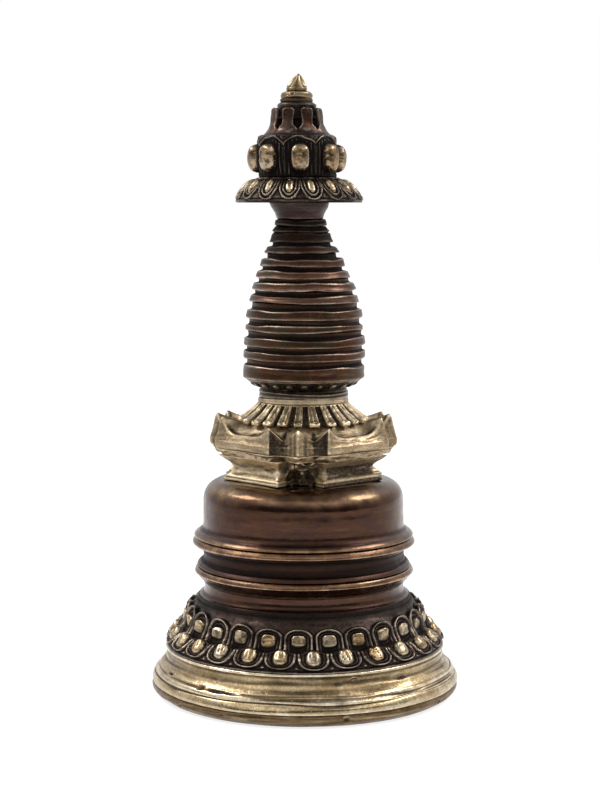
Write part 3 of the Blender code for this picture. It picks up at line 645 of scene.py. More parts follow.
# Lotus base, upper row.
# The petals that point up, half a petal out of step with the lower row. Their bosses are filed flat, some
# sloping and some cut twice, each under a double chased arch, below a plain blackened shoulder.
UPPER_FIRST = -2.7
UPPER_FRAME_AT = 2.15
UPPER_FRAME_WIDE = 2.5
UPPER_FRAME_LONG = 2.3
UPPER_BOSS_AT = 2.2
UPPER_BOSS_WIDE = 1.36
UPPER_BOSS_LONG = 1.04
SHOULDER_STEP = 0.3
upper_line = moulding(
    [
        (24.75, 13.2, 0),
        (24.6, 13.3, 0.1),
        (23.85, 14.8, 1.0),
        (23.4, 16.2, 0.8),
        (22.4, 17.5, 0.8),
        (21.2, 18.75, 1.0),
        (20.7, 19.3, 0.3),
        (20.6, 19.4, 0),
    ],
    0.12,
)
upper_round = round_the_axis(LOTUS_PETALS * PETAL_COLUMNS, UPPER_FIRST)
upper_petal, upper_share = across_petals(upper_round, LOTUS_PETALS, UPPER_FIRST)
hand = hand_shares(7, LOTUS_PETALS, PETAL_DRAWS, upper_petal)
along = run_of(upper_line) - 0.1 + 0.06 * hand[0]
half_pitch = np.pi * upper_line[:, 0, None] / LOTUS_PETALS
across = upper_share * half_pitch + 0.08 * hand[1]

# The arches are lower in front, where the real ones are squeezed, and rise towards the sides and the back.
off_front = (upper_round + 180.0) % 360.0 - 180.0
arch_rise = 0.95 * ease(np.abs(off_front), 15.0, 80.0) + 0.25 * ease(-off_front, 15.0, 60.0) - 0.45
arch_along = np.clip(along - UPPER_FRAME_AT, 0.0, None) / (UPPER_FRAME_LONG + arch_rise)
arch_far = oval(across / (UPPER_FRAME_WIDE + 0.05 * hand[2]), arch_along, 2.2)
frame_off = (arch_far - 1.0) * 2.3

# The boss is square at its foot and round at its head, and the lowest of three surfaces shapes it.
tall = (along - UPPER_BOSS_AT - 0.3 * arch_rise - 0.06 * hand[5]) / (UPPER_BOSS_LONG + 0.08 * hand[6])
corner = np.where(tall > 0.0, 2.9 + 0.4 * hand[3], 7.0)
boss_far = oval(across / (UPPER_BOSS_WIDE + 0.09 * hand[4]), tall, corner)
boss_across = across / UPPER_BOSS_WIDE
boss = 0.9 * (1.0 - ease(boss_far, 0.8, 1.05)) - 0.42
boss = np.minimum(boss, 0.15 + 0.06 * hand[7] + 0.25 * tall + facet(boss_across, tall, hand[3:5], 0.16))
boss = np.minimum(boss, 0.34 + facet(boss_across, tall, hand[6:8], 0.45))
border = (1.0 - np.abs(upper_share)) * half_pitch
upright = np.cos(TURN * border / 0.62) * ease(frame_off, 0.2, 0.5) * (1.0 - ease(along, 3.0, 4.2))
push = double_line(frame_off) + 0.08 * upright
push = push + 0.32 * bump(frame_off + 0.06, 0.3) * ease(along, 3.2, 4.4)
push = np.maximum(push, boss)
push = push + 0.03 * dents(push.shape, 2, 3, 33) + 0.035 * dents(push.shape, 7, 14, 34)
upper_level = upper_line[:, 1, None]
shoulder = ease(upper_level, 17.9, 18.6)
push = push * (1.0 - shoulder) * (0.4 + 0.6 * ease(along, 0.0, 0.3))
push = push - SHOULDER_STEP * shoulder * (1.0 - ease(upper_level, 18.7, 19.35))
push = push + 0.02 * dents(push.shape, 3, 12, 35) * shoulder * (upper_level < 19.2)
# The gilt grows stronger towards each boss's top, a painted highlight, and weaker towards its foot.
bare = np.clip((boss + 0.3) / 0.3, 0.0, 1.0) * (0.8 + 0.18 * hand[2])
set_piece(
    "upper_petals",
    nested(turned_points(upper_line, upper_round, push), upper_round),
    lotus_bronze,
    inner=(20.8, 17.2),
    keen=0.65 * (1.0 - ease(upper_level, 17.9, 18.3)) * frame_keen(frame_off),
    soft=0.1,
    still=0.5,
    boss=bare * (0.85 + 0.3 * np.clip(tall, -1.0, 1.0)),
    dirt_and_shade=0.55 * shoulder,
)


# Drums and bands.
# Turned mouldings of brown bronze under the dome: a short drum, a band, a hollowed waist and a second band.
# The bands are worn to a bright line along their rims.
DRUM_COLUMNS = 240
DRUM_BORE = (17.2, 17.2)
DRUM_TONES = ((0.072, 0.036, 0.026), (0.062, 0.035, 0.03), (0.084, 0.042, 0.023))
BAND_TONES = ((0.15, 0.08, 0.045), (0.1, 0.052, 0.034), (0.22, 0.12, 0.06))
BRONZE_HOLLOW = (0.006, 0.004, 0.0035)
dome_bronze = metal_finish(
    "brown_dome_bronze",
    DRUM_TONES,
    edge=(0.42, 0.27, 0.14),
    hollow=BRONZE_HOLLOW,
    roughness=0.21,
    grain=0.05,
    turning=0.2,
    pits=0.05,
    stains=0.3,
)
band_bronze = metal_finish(
    "worn_band_bronze",
    BAND_TONES,
    edge=(0.62, 0.45, 0.31),
    hollow=BRONZE_HOLLOW,
    roughness=0.25,
    grain=0.3,
    turning=0.4,
    pits=0.15,
    stains=0.4,
)


def set_turning(
    name,
    corners,
    finish,
    seed,
    rough=0.02,
    spacing=0.15,
    columns=DRUM_COLUMNS,
    inner=None,
    keen=0.5,
    dirt_and_shade=0.0,
):
    """A turned piece: its outline with faint lathe steps and slow dents, and levels that wander a little.

    Rough is the height of the dents in mm. All of them die away towards both ends of the outline.
    """
    line = moulding(corners, spacing)
    shape = (len(line), columns)
    run = run_of(line)
    held = ease(run, 0.05, 0.4) * (1.0 - ease(run, run[-1] - 0.4, run[-1] - 0.05))
    push = rough * (0.5 * dents(shape, 1, 30, seed) + dents(shape, 4, 12, seed + 1))
    points = turned_points(line, round_the_axis(columns), push * held)
    points[..., 2] += 2.0 * rough * dents(shape, 6, 14, seed + 2) * held
    set_piece(name, points, finish, inner=inner, keen=keen, soft=0.0, dirt_and_shade=dirt_and_shade)


set_turning(
    "lower_drum",
    [(20.55, 19.4, 0), (19.8, 19.75, 0.5), (19.47, 20.6, 0.7), (19.5, 21.6, 0.4), (19.75, 22.1, 0)],
    dome_bronze,
    seed=41,
    inner=DRUM_BORE,
    keen=0.1,
    dirt_and_shade=-0.4,
)
set_turning(
    "lower_band",
    [
        (19.75, 22.1, 0),
        (19.9, 22.45, 0.12),
        (20.05, 22.5, 0.1),
        (20.75, 23.2, 0.7),
        (21.1, 23.65, 0.12),
        (21.48, 23.95, 0.15),
        (21.2, 24.6, 0.25),
        (20.95, 24.85, 0.1),
        (20.7, 24.95, 0),
    ],
    band_bronze,
    seed=43,
    inner=DRUM_BORE,
    keen=0.9,
)
set_turning(
    "waist_drum",
    [
        (20.55, 24.95, 0),
        (20.62, 25.05, 0.05),
        (20.92, 25.25, 0.2),
        (20.5, 25.85, 0.25),
        (19.85, 26.15, 0.4),
        (19.5, 27.3, 0.9),
        (19.75, 28.4, 0.5),
        (20.1, 28.6, 0.12),
        (20.35, 29.0, 0),
    ],
    dome_bronze,
    seed=45,
    rough=0.03,
    inner=DRUM_BORE,
    keen=0.3,
    dirt_and_shade=0.35,
)
set_turning(
    "upper_band",
    [
        (20.35, 29.0, 0),
        (20.75, 29.12, 0.15),
        (21.45, 29.3, 0.2),
        (21.8, 29.65, 0.2),
        (21.6, 30.2, 0.4),
        (21.25, 30.65, 0.12),
        (20.95, 30.75, 0),
    ],
    band_bronze,
    seed=47,
    inner=DRUM_BORE,
    keen=0.9,
)


# Dome.
# A bell-shaped shell of dark brown bronze: a flared lip on the upper band, a straight wall, a round shoulder
# and a flat deck for the harmika. It was planished by hand, so the shoulder catches light in uneven patches.
DOME_COLUMNS = 300
dome_line = moulding(
    [
        (20.95, 30.75, 0),
        (21.1, 30.8, 0.05),
        (21.5, 31.15, 0.16),
        (21.0, 31.75, 0.3),
        (20.0, 32.25, 0.6),
        (19.6, 33.1, 0.9),
        (19.58, 37.9, 1.8),
        (19.25, 39.8, 1.4),
        (18.3, 41.1, 1.2),
        (16.6, 41.95, 1.2),
        (15.2, 42.2, 0.8),
        (13.0, 42.2, 0),
    ],
    0.2,
)
dome_shape = (len(dome_line), DOME_COLUMNS)
dome_level = dome_line[:, 1, None]
dome_run = run_of(dome_line)
dome_push = 0.02 * dents(dome_shape, 2, 30, 51)
dome_push = dome_push + 0.06 * dents(dome_shape, 7, 14, 52) * ease(dome_level, 36.5, 39.5)
dome_push = dome_push + 0.02 * dents(dome_shape, 12, 20, 53) - 0.03
dome_push *= ease(dome_run, 0.1, 0.6) * (1.0 - ease(dome_run, 15.5, 16.6))
# A painted highlight in the edge colour lies over the shoulder and the deck, and along the lip.
dome_painted_highlight = 0.6 * ease(dome_level, 38.3, 40.2) * (0.6 + 0.4 * dents(dome_shape, 4, 16, 54))
dome_painted_highlight = dome_painted_highlight + 0.5 * bump(dome_level - 31.3, 0.3)
set_piece(
    "dome",
    turned_points(dome_line, round_the_axis(DOME_COLUMNS), dome_push),
    dome_bronze,
    keen=0.4,
    soft=0.0,
    dirt_and_shade=-0.5,
    rub_and_highlight=np.clip(dome_painted_highlight, 0.0, 0.6),
)


# Harmika.
# The square block over the dome, stepped in at each corner, with a thin plate and a cornice whose corners
# rise to points. It is rough cast brass, pitted on its faces and dark in the corner notches, as dirt and
# painted shade.
BLOCK_TURN = -1.8
BLOCK_CORNER = ((12.85, 6.7), (8.4, 6.7), (8.4, 8.4))
BLOCK_SIDE_CORNER = ((12.85, 7.3), (8.4, 7.3), (8.4, 8.4))
CORNICE_TURN = -3.3
CORNICE_CORNER = ((15.5, 7.4), (13.1, 9.0), (13.0, 13.0))
CORNICE_SIDE_CORNER = ((15.5, 8.2), (13.1, 9.6), (13.0, 13.0))
PLAN_SPACING = 0.15
NOTCH_RADIUS = 12.3
WALL_ROWS = 20
ROOF_ROWS = 14
SEAT_RADIUS = 11.3
SEAT_LEVEL = 53.3
PEAK_LEVEL = 53.3
SIDE_RISE = 1.3
FACE_DIP = 51.3
NOTCH_DIP = 50.8
BELLY_LEVEL = 49.9
BLOCK_TONES = ((0.76, 0.6, 0.39), (0.62, 0.47, 0.28), (0.86, 0.7, 0.47))
HARMIKA_TONES = ((0.4, 0.295, 0.18), (0.31, 0.22, 0.125), (0.48, 0.37, 0.24))
block_brass = metal_finish(
    "filed_block_brass",
    BLOCK_TONES,
    edge=(0.95, 0.8, 0.56),
    hollow=(0.02, 0.011, 0.007),
    roughness=0.36,
    grain=0.9,
    turning=1.0,
    pits=0.2,
    stains=0.15,
)
harmika_brass = metal_finish(
    "rough_harmika_brass",
    HARMIKA_TONES,
    edge=(0.9, 0.74, 0.5),
    hollow=(0.01, 0.006, 0.004),
    roughness=0.4,
    grain=1.0,
    turning=0.8,
    pits=0.5,
    stains=0.3,
)


def stepped_plan(corner, side_corner, turn):
    """Even points round a square stepped in at its corners, each given as a face end, a notch and a tip.

    Returns the points, the way that they move when the whole plan grows by one, and two shares. The first
    runs from a notch (0) to a peak (1) along the short sides. The second runs along the long faces, and is
    -1 round the tips of the corners and -2 on the walls of the notches that face outwards.
    """
    plan, grow = [], []
    for quarter in range(4):
        angle = np.radians(90.0 * quarter - 135.0 + turn)
        turned = np.array([[np.cos(angle), -np.sin(angle)], [np.sin(angle), np.cos(angle)]])
        face_end, notch, tip = side_corner if quarter % 2 else corner
        plan.append(np.array([face_end, notch, tip, notch[::-1], face_end[::-1]]) @ turned.T)
        grow.append(np.ones((5, 2)) @ turned.T)
    plan, grow = np.concatenate(plan), np.concatenate(grow)
    points, ways, rise, face_share = [], [], [], []
    for side in range(20):
        after = (side + 1) % 20
        count = max(int(round(np.hypot(*(plan[after] - plan[side])) / PLAN_SPACING)), 4)
        share = (np.arange(count) / count)[:, None]
        points.append(plan[side] * (1 - share) + plan[after] * share)
        ways.append(grow[side] * (1 - share) + grow[after] * share)
        is_face = side % 5 == 4
        share = share[:, 0]
        rise.append(np.ones(count) if is_face else (share if side % 5 % 2 else 1.0 - share))
        face_share.append(share if is_face else np.full(count, -2.0 if side % 5 in (0, 3) else -1.0))
    return tuple(np.concatenate(part) for part in (points, ways, rise, face_share))


def lofted(plan, ways, spreads, levels):
    """Grid of a plan grown by each row's spread, at each row's level."""
    flat = plan[None] + ways[None] * spreads[..., None]
    level = np.broadcast_to(levels, flat.shape[:2])
    return np.concatenate((flat + np.stack((lean(level), 0.0 * level), axis=-1), level[..., None]), axis=-1)


def roughened(points, depth, seed, streak=1, hold=2):
    """The grid moved along its normals by fine and coarse dents drawn out sideways, still at both ends."""
    shape = points.shape[:2]
    row = np.arange(shape[0])[:, None]
    still = ease(row, 0.0, hold) * (1.0 - ease(row, shape[0] - 1 - hold, shape[0] - 1))
    push = depth * (0.6 * dents(shape, 1, streak, seed) + dents(shape, 2, 5 * streak, seed + 1)) * still
    return points + normals_of(points) * push[..., None]


block_plan, block_ways, _, block_face = stepped_plan(BLOCK_CORNER, BLOCK_SIDE_CORNER, BLOCK_TURN)
block_line = moulding(
    [
        (0.75, 42.2, 0),
        (0.95, 42.3, 0.1),
        (0.85, 42.65, 0.15),
        (0.4, 42.85, 0.1),
        (0.5, 43.05, 0.1),
        (-0.2, 43.6, 0.4),
        (-0.5, 44.6, 0.6),
        (-0.2, 45.5, 0.5),
        (0.7, 46.2, 0.5),
        (1.5, 46.9, 0.4),
        (1.65, 47.0, 0),
    ],
    0.16,
)
block_plan = soften(block_plan, 1, 0, True)
block_points = lofted(block_plan, block_ways, block_line[:, :1], block_line[:, 1:])

# Lumps of the casting fill the notches. The high ones are rubbed bright, partly as a painted highlight in the
# notch's shade, and between them the notch is darkened as dirt and painted shade. The right faces are darker,
# the left faces lighter, and the block darkens along its foot.
block_side = np.cos(np.arctan2(block_plan[:, 0], -block_plan[:, 1]) - np.radians(45.0 + BLOCK_TURN))
block_notch = 1.0 * (np.hypot(block_plan[:, 0], block_plan[:, 1]) < NOTCH_RADIUS) * (block_face < 0.0)
block_notch = soften(block_notch, 2, 0, True)
block_lumps = dents(block_points.shape[:2], 2, 2, 67)
block_level = block_line[:, 1:]
block_gold = ease(block_lumps, -0.5, 0.4) * ease(block_level, 43.8, 44.9)
block_darkening = 0.5 * ease(block_side, 0.7, 0.85) * (block_face >= 0.0) + block_notch * (1.0 - block_gold)
block_darkening = block_darkening + 0.5 * (1.0 - ease(block_level, 42.75, 42.95))
block_push = (0.28 * block_lumps + 0.7 * bump(block_level - 45.8, 1.1)) * block_notch
block_points += normals_of(block_points) * block_push[..., None]
set_piece(
    "harmika_block",
    roughened(block_points, 0.028, 61, 5),
    block_brass,
    keen=0.7,
    soft=0.2,
    dirt_and_shade=block_darkening,
    rub_and_highlight=0.9 * block_gold * block_notch + 0.35 * (block_face >= 0.0) * (block_plan[:, 0] < 0.0),
)

cornice_plan, cornice_ways, cornice_rise, cornice_face = stepped_plan(
    CORNICE_CORNER, CORNICE_SIDE_CORNER, CORNICE_TURN
)
rounded_plan = soften(cornice_plan, 1, 0, True)
fillet_line = moulding(
    [(-1.15, 47.0, 0), (-0.95, 47.03, 0.1), (-0.62, 47.7, 0.4), (-0.3, 48.3, 0.15), (-0.45, 48.4, 0)], 0.13
)
fillet_points = lofted(rounded_plan, cornice_ways, fillet_line[:, :1], fillet_line[:, 1:])
set_piece(
    "harmika_fillet",
    roughened(fillet_points, 0.075, 63, 2),
    harmika_brass,
    keen=0.6,
    soft=0.1,
)

# The cornice's rim dips along each face and in each notch, and rises to a peak at the tips. The wall under it
# leans in from a belly, a lip rolls over the rim, and the roof runs in from the lip to a round seat.
sideways = cornice_plan[:, 0] / np.hypot(cornice_plan[:, 0], cornice_plan[:, 1])
peak_level = PEAK_LEVEL + SIDE_RISE * sideways**2
face_curve = FACE_DIP + (peak_level - FACE_DIP) * np.abs(2.0 * cornice_face - 1.0) ** 4.5
notch_curve = NOTCH_DIP + (peak_level - NOTCH_DIP) * cornice_rise**1.1
rim_level = np.where(cornice_face >= 0.0, face_curve, notch_curve)
wall_share = np.linspace(0.0, 1.0, WALL_ROWS)[:, None]
wall_spread = -0.65 * wall_share - 0.3 * wall_share**6 - 0.12 * np.sin(np.pi * wall_share)
wall_level = BELLY_LEVEL + (rim_level - BELLY_LEVEL) * wall_share
foot_rows = moulding([(-0.6, 48.4, 0), (-0.2, 48.5, 0.1), (0.0, 48.9, 0.3), (0.03, BELLY_LEVEL, 0)], 0.15)
lip_rows = np.array([(-1.03, 0.06), (-1.24, 0.05), (-1.38, -0.04), (-1.5, -0.12)])
spreads = np.concatenate((foot_rows[:, :1], wall_spread[1:], lip_rows[:, :1])) + 0.0 * rim_level
foot_level = foot_rows[:, 1:] + 0.0 * rim_level
levels = np.concatenate((foot_level, wall_level[1:], rim_level + lip_rows[:, 1:]))
cornice_wall = lofted(rounded_plan, cornice_ways, spreads, levels)
lip = cornice_wall[-1]
arm = (lip - (lean(SEAT_LEVEL), 0.0, 0.0)) * (1.0, 1.0, 0.0)
seat = arm / np.linalg.norm(arm, axis=-1, keepdims=True) * SEAT_RADIUS + (lean(SEAT_LEVEL), 0.0, SEAT_LEVEL)
roof_share = np.linspace(0.0, 1.0, ROOF_ROWS)[1:, None, None]
roof = lip * (1.0 - roof_share) + seat * roof_share
roof[..., 2] -= 0.1 * np.sin(np.pi * roof_share[..., 0])
cornice_points = np.concatenate((cornice_wall, roof))

# The notch walls and the tips under the peaks are darkened as dirt and painted shade, and the left faces a
# little. Rim and peaks are rubbed, and the roof is lightened with a painted highlight.
cornice_shape = cornice_points.shape[:2]
past_rim = np.arange(len(cornice_points))[:, None] - (len(cornice_wall) - len(lip_rows) - 0.5)
cornice_shade_and_dirt = (0.8 + 0.3 * cornice_rise) * (cornice_face < -1.5) * (1.0 - ease(cornice_rise, 0.88, 0.99))
cornice_streak = 0.5 + 0.2 * dents((1, rim_level.size), 0, 1, 69)[0]
cornice_shade_and_dirt = cornice_shade_and_dirt + cornice_streak * (cornice_face == -1.0) * (1.0 - ease(cornice_rise, 0.75, 0.97))
cornice_shade_and_dirt = cornice_shade_and_dirt + 0.12 * (cornice_face >= 0.0) * (cornice_plan[:, 0] < 0.0)
cornice_rub_and_highlight = (cornice_face < 0.0) * ease(cornice_rise, 0.88, 1.0) * (past_rim < 1.0)
rim_rub = bump(past_rim, 1.3) * (0.8 + 0.3 * dents(cornice_shape, 0, 4, 68))
cornice_rub_and_highlight = 0.7 * np.maximum(cornice_rub_and_highlight, rim_rub)
roof_painted_highlight = 0.5 * ease(past_rim, 3.0, 6.0) * (1.0 - ease(past_rim, 12.0, 16.0))
cornice_rub_and_highlight = np.maximum(cornice_rub_and_highlight, roof_painted_highlight * (0.8 + 0.3 * dents(cornice_shape, 2, 5, 74)))
unrubbed = 1.0 - np.clip(1.4 * cornice_rub_and_highlight, 0.0, 1.0)
cornice_shade_and_dirt = np.clip(cornice_shade_and_dirt, 0.0, 1.0) * unrubbed * (past_rim < 1.5)
set_piece(
    "harmika_cornice",
    roughened(cornice_points, 0.03, 65, 3),
    harmika_brass,
    keen=0.9,
    soft=0.05,
    still=0.4,
    dirt_and_shade=cornice_shade_and_dirt,
    rub_and_highlight=cornice_rub_and_highlight,
)


# Ribbed skirt and its ring.
# A sloping cone of flat bright ribs with deep black gaps, whose ends curl out over the cornice, closed at the
# top by a thin ring. It is cast with the harmika and filed.
SKIRT_RIBS = 25
SKIRT_FIRST = -4.0
RIB_COLUMNS = 26
RING_COLUMNS = 160
skirt_line = moulding(
    [
        (12.0, 53.4, 0),
        (12.55, 53.45, 0.15),
        (12.72, 53.8, 0.25),
        (12.2, 54.15, 0.4),
        (10.4, 55.5, 1.6),
        (8.9, 56.8, 0.8),
        (8.75, 57.05, 0.1),
        (8.5, 57.1, 0),
    ],
    0.14,
)
skirt_round = round_the_axis(SKIRT_RIBS * RIB_COLUMNS, SKIRT_FIRST)
skirt_rib, skirt_share = across_petals(skirt_round, SKIRT_RIBS, SKIRT_FIRST)
hand = hand_shares(9, SKIRT_RIBS, 4, skirt_rib)
skirt_level = skirt_line[:, 1, None]

# Each rib has a toe that stands out, a small scroll sunk into it and a fine groove along its middle.
gap = ease(np.abs(skirt_share + 0.13 * hand[0]), 0.5 + 0.09 * hand[1], 0.64 + 0.09 * hand[1])
gap = gap * (1.0 - 0.7 * ease(skirt_level, 56.5, 57.0))
toe = (0.18 * hand[2] + 0.12) * (1.0 - ease(skirt_level, 53.9, 54.5)) * (1.0 - gap)
scroll_far = np.hypot(skirt_share / 0.26, (skirt_level - 53.95 - 0.05 * hand[3]) / 0.22)
push = toe - 0.22 * bump(scroll_far, 0.8)
push = push - 0.1 * bump(skirt_share, 0.12) * ease(skirt_level, 54.2, 54.6)
push = push + 0.03 * dents(gap.shape, 2, 3, 71)
push *= ease(run_of(skirt_line), 0.2, 0.6) * (1.0 - ease(skirt_level, 56.95, 57.08))
skirt_points = turned_points(skirt_line, skirt_round, push)

# The gaps are cut in towards the axis as far as a bed, whose radius follows five levels.
bed = np.interp(skirt_line[:, 1], [53.4, 53.9, 55.5, 56.8, 57.1], [11.55, 11.4, 9.55, 8.3, 8.2])[:, None]
middle = np.stack((lean(skirt_line[:, 1]), 0.0 * skirt_line[:, 1]), axis=-1)[:, None]
arm = skirt_points[..., :2] - middle
reach = np.linalg.norm(arm, axis=-1)
carved = reach * (1.0 - gap) + np.minimum(reach, bed) * gap
skirt_points[..., :2] = middle + arm * (carved / reach)[..., None]
# The ribs are rubbed bright, partly wear and partly a painted highlight.
skirt_rub_and_highlight = np.clip(0.4 + 0.3 * dents(gap.shape, 4, 3, 72), 0.0, 0.8) * (1.0 - gap)
set_piece(
    "ribbed_skirt", skirt_points, harmika_brass, keen=1.1, soft=0.5, dirt_and_shade=gap, rub_and_highlight=skirt_rub_and_highlight
)
set_turning(
    "skirt_ring",
    [(8.5, 57.1, 0), (8.8, 57.2, 0.12), (8.85, 57.55, 0.3), (8.7, 57.85, 0.15), (8.3, 57.95, 0)],
    harmika_brass,
    seed=73,
    rough=0.06,
    spacing=0.1,
    columns=RING_COLUMNS,
    keen=0.9,
    dirt_and_shade=0.3,
)


# Neck and leaf collar.
# A blackened bronze neck, turned round and plain, and on it an undercut collar cast with small leaves. They
# carry the spire, and only the edges of the leaves are rubbed.
NECK_TONES = ((0.022, 0.017, 0.015), (0.034, 0.025, 0.02), (0.018, 0.015, 0.014))
COLLAR_LEAVES = 22
COLLAR_FIRST = 1.0
LEAF_COLUMNS = 18
neck_bronze = metal_finish(
    "blackened_neck_bronze",
    NECK_TONES,
    edge=(0.36, 0.28, 0.2),
    hollow=(0.004, 0.0035, 0.003),
    roughness=0.34,
    grain=0.6,
    turning=0.3,
    pits=0.3,
    stains=0.5,
    gilt=(0.4, 0.31, 0.2),
)
set_turning(
    "neck_ring",
    [(8.3, 57.95, 0), (8.6, 58.15, 0.3), (8.75, 58.8, 0.7), (8.6, 59.5, 0.4), (8.3, 59.75, 0)],
    neck_bronze,
    seed=75,
    rough=0.07,
    spacing=0.1,
    columns=RING_COLUMNS,
    keen=0.9,
)
collar_line = moulding(
    [
        (8.3, 59.75, 0),
        (8.6, 59.85, 0.1),
        (9.6, 60.4, 0.4),
        (11.15, 61.2, 0.3),
        (11.3, 61.6, 0.2),
        (11.2, 61.7, 0),
    ],
    0.12,
)
collar_round = round_the_axis(COLLAR_LEAVES * LEAF_COLUMNS, COLLAR_FIRST)
collar_leaf, collar_share = across_petals(collar_round, COLLAR_LEAVES, COLLAR_FIRST)
hand = hand_shares(13, COLLAR_LEAVES, 4, collar_leaf)
run = run_of(collar_line)
leaf_far = oval(collar_share / (0.62 + 0.08 * hand[0]), (run - 1.75 - 0.1 * hand[1]) / 1.05, 2.2)
leaf_push = 0.42 * (1.0 - ease(leaf_far, 0.35, 1.05)) - 0.22
leaf_push = leaf_push + 0.1 * bump(leaf_far - 1.25, 0.12) + 0.02 * dents(leaf_push.shape, 2, 3, 77)
leaf_push = leaf_push * ease(run, 0.1, 0.5) * (1.0 - ease(run, run[-1] - 0.5, run[-1] - 0.15))
set_piece(
    "leaf_collar",
    turned_points(collar_line, collar_round, leaf_push),
    neck_bronze,
    boss=np.clip(1.2 - leaf_far * 1.6, 0.0, 1.0),
)


# Spire.
# Thirteen solid rings of brown bronze on one core, each narrower at its top, with a black groove over it.
# They were cut by hand, so every edge wanders a little and is worn bright.
SPIRE_TOP = 92.3
CORE_RADIUS = 4.5
GROOVE_DEPTH = 0.6
SPIRE_COLUMNS = 180
SPIRE_SEED = 80
# Bottom and top level of each ring, and its radius at both.
RINGS = (
    (61.75, 64.25, 11.85, 11.75),
    (65.55, 67.0, 11.9, 11.82),
    (68.1, 69.7, 11.78, 11.66),
    (70.9, 72.15, 11.52, 11.42),
    (73.35, 75.05, 11.34, 11.15),
    (76.4, 77.75, 10.75, 10.4),
    (78.65, 80.2, 10.1, 9.7),
    (81.05, 82.45, 9.26, 8.85),
    (83.25, 84.7, 8.33, 8.0),
    (85.8, 87.15, 7.36, 6.85),
    (87.9, 89.6, 6.22, 5.7),
    (89.85, 90.7, 5.5, 5.15),
    (90.95, 92.15, 5.08, 4.85),
)
SPIRE_TONES = ((0.079, 0.035, 0.02), (0.058, 0.042, 0.023), (0.102, 0.042, 0.021))
spire_bronze = metal_finish(
    "red_brown_spire_bronze",
    SPIRE_TONES,
    edge=(0.53, 0.42, 0.35),
    hollow=(0.003, 0.002, 0.002),
    roughness=0.34,
    grain=0.3,
    turning=0.3,
    pits=0.2,
    stains=0.4,
)
spire_round = round_the_axis(SPIRE_COLUMNS)
for number, (bottom, top, foot_radius, top_radius) in enumerate(RINGS):
    seed = SPIRE_SEED + 3 * number
    start = bottom - 0.05 if number == 0 else bottom
    if number + 1 < len(RINGS):
        end = RINGS[number + 1][0]
        groove = min(top_radius, RINGS[number + 1][2]) - min(GROOVE_DEPTH, 0.6 * (end - top) + 0.12)
    else:
        end = SPIRE_TOP
        groove = CORE_RADIUS
    line = moulding(
        [
            (min(groove + 0.2, foot_radius - 0.4), start, 0),
            (foot_radius - 0.15, start, 0.1),
            (foot_radius, start + 0.25, 0.15),
            (0.4 * foot_radius + 0.6 * top_radius, 0.5 * (bottom + top), 0.3),
            (top_radius, top - 0.15, 0.12),
            (top_radius - 0.15, top, 0.1),
            (groove + 0.12, top + 0.08, 0.15),
            (groove, top + 0.3 * (end - top) + 0.05, 0.1),
            (groove - 0.02, end, 0),
        ],
        0.125,
    )
    shape = (len(line), SPIRE_COLUMNS)
    level = line[:, 1, None]
    push = 0.03 * dents(shape, 2, 7, seed) + 0.05 * dents(shape, 30, 9, seed + 1) - 0.03
    push = push * ease(level, start, start + 0.15)

    # The bottom and the top edge of the ring wander apart, and its face in between follows both.
    edges = (2, SPIRE_COLUMNS)
    wander = 0.1 * dents(edges, 0, 8, seed + 2) + 0.05 * dents(edges, 0, 3, seed + 3)
    share = (level - start) / (top - start)
    outer = ease(line[:, 0, None], groove + 0.1, top_radius - 0.1)
    ring_points = turned_points(line, spire_round, push)
    ring_points[..., 2] += ((1.0 - share) * wander[0] + share * wander[1]) * (share <= 1.1) * outer
    ring_points[..., 2] = np.clip(ring_points[..., 2], start, end)
    # The rings darken towards the top as painted shade under the parasol, and darken in the grooves.
    set_piece(
        "spire_ring_%02d" % (number + 1),
        ring_points,
        spire_bronze,
        keen=1.0,
        soft=0.0,
        dirt_and_shade=0.85 * ease(level, 80.0, 90.0) + 0.35 * (1.0 - outer),
    )


# Parasol collar.
# The short stem over the spire, turned in grey brown bronze. It flares up to carry the parasol, which is
# fixed on top of it.
COLLAR_TONES = ((0.045, 0.031, 0.027), (0.035, 0.026, 0.024), (0.06, 0.034, 0.026))
collar_bronze = metal_finish(
    "grey_brown_collar_bronze",
    COLLAR_TONES,
    edge=(0.3, 0.22, 0.17),
    hollow=(0.008, 0.006, 0.005),
    roughness=0.34,
    grain=0.5,
    turning=0.5,
    pits=0.2,
    stains=0.3,
)
set_turning(
    "parasol_collar",
    [
        (4.3, 92.3, 0),
        (4.5, 92.4, 0.1),
        (4.6, 92.9, 0.3),
        (4.85, 93.6, 0.5),
        (5.45, 94.5, 0.8),
        (5.75, 95.2, 0.2),
        (5.7, 95.45, 0),
    ],
    collar_bronze,
    seed=121,
    rough=0.03,
    spacing=0.1,
    columns=RING_COLUMNS,
)


# Parasol.
# The umbrella over the spire, cast in the same bronze as the lotus: sixteen petals that point out and down,
# each with a long bright boss in a chased U, a second line round it, and a thin worn rim.
PARASOL_PETALS = 16
PARASOL_COLUMNS = 38
PARASOL_FIRST = 13.3
PARASOL_BOSS_AT = 3.95
PARASOL_BOSS_LONG = 2.2
PARASOL_LINES_AT = 3.9
NEAR_LINE_LONG = 2.7
FAR_LINE_LONG = 3.55
parasol_line = moulding(
    [
        (12.0, 95.45, 0),
        (12.2, 95.58, 0.12),
        (12.36, 96.1, 0.2),
        (12.15, 96.75, 0.3),
        (11.25, 98.15, 1.4),
        (9.7, 99.45, 1.4),
        (8.3, 99.98, 0.4),
        (7.7, 100.25, 0),
    ],
    0.105,
)
parasol_round = round_the_axis(PARASOL_PETALS * PARASOL_COLUMNS, PARASOL_FIRST)
parasol_petal, parasol_share = across_petals(parasol_round, PARASOL_PETALS, PARASOL_FIRST)
hand = hand_shares(17, PARASOL_PETALS, PETAL_DRAWS, parasol_petal)
run = run_of(parasol_line)
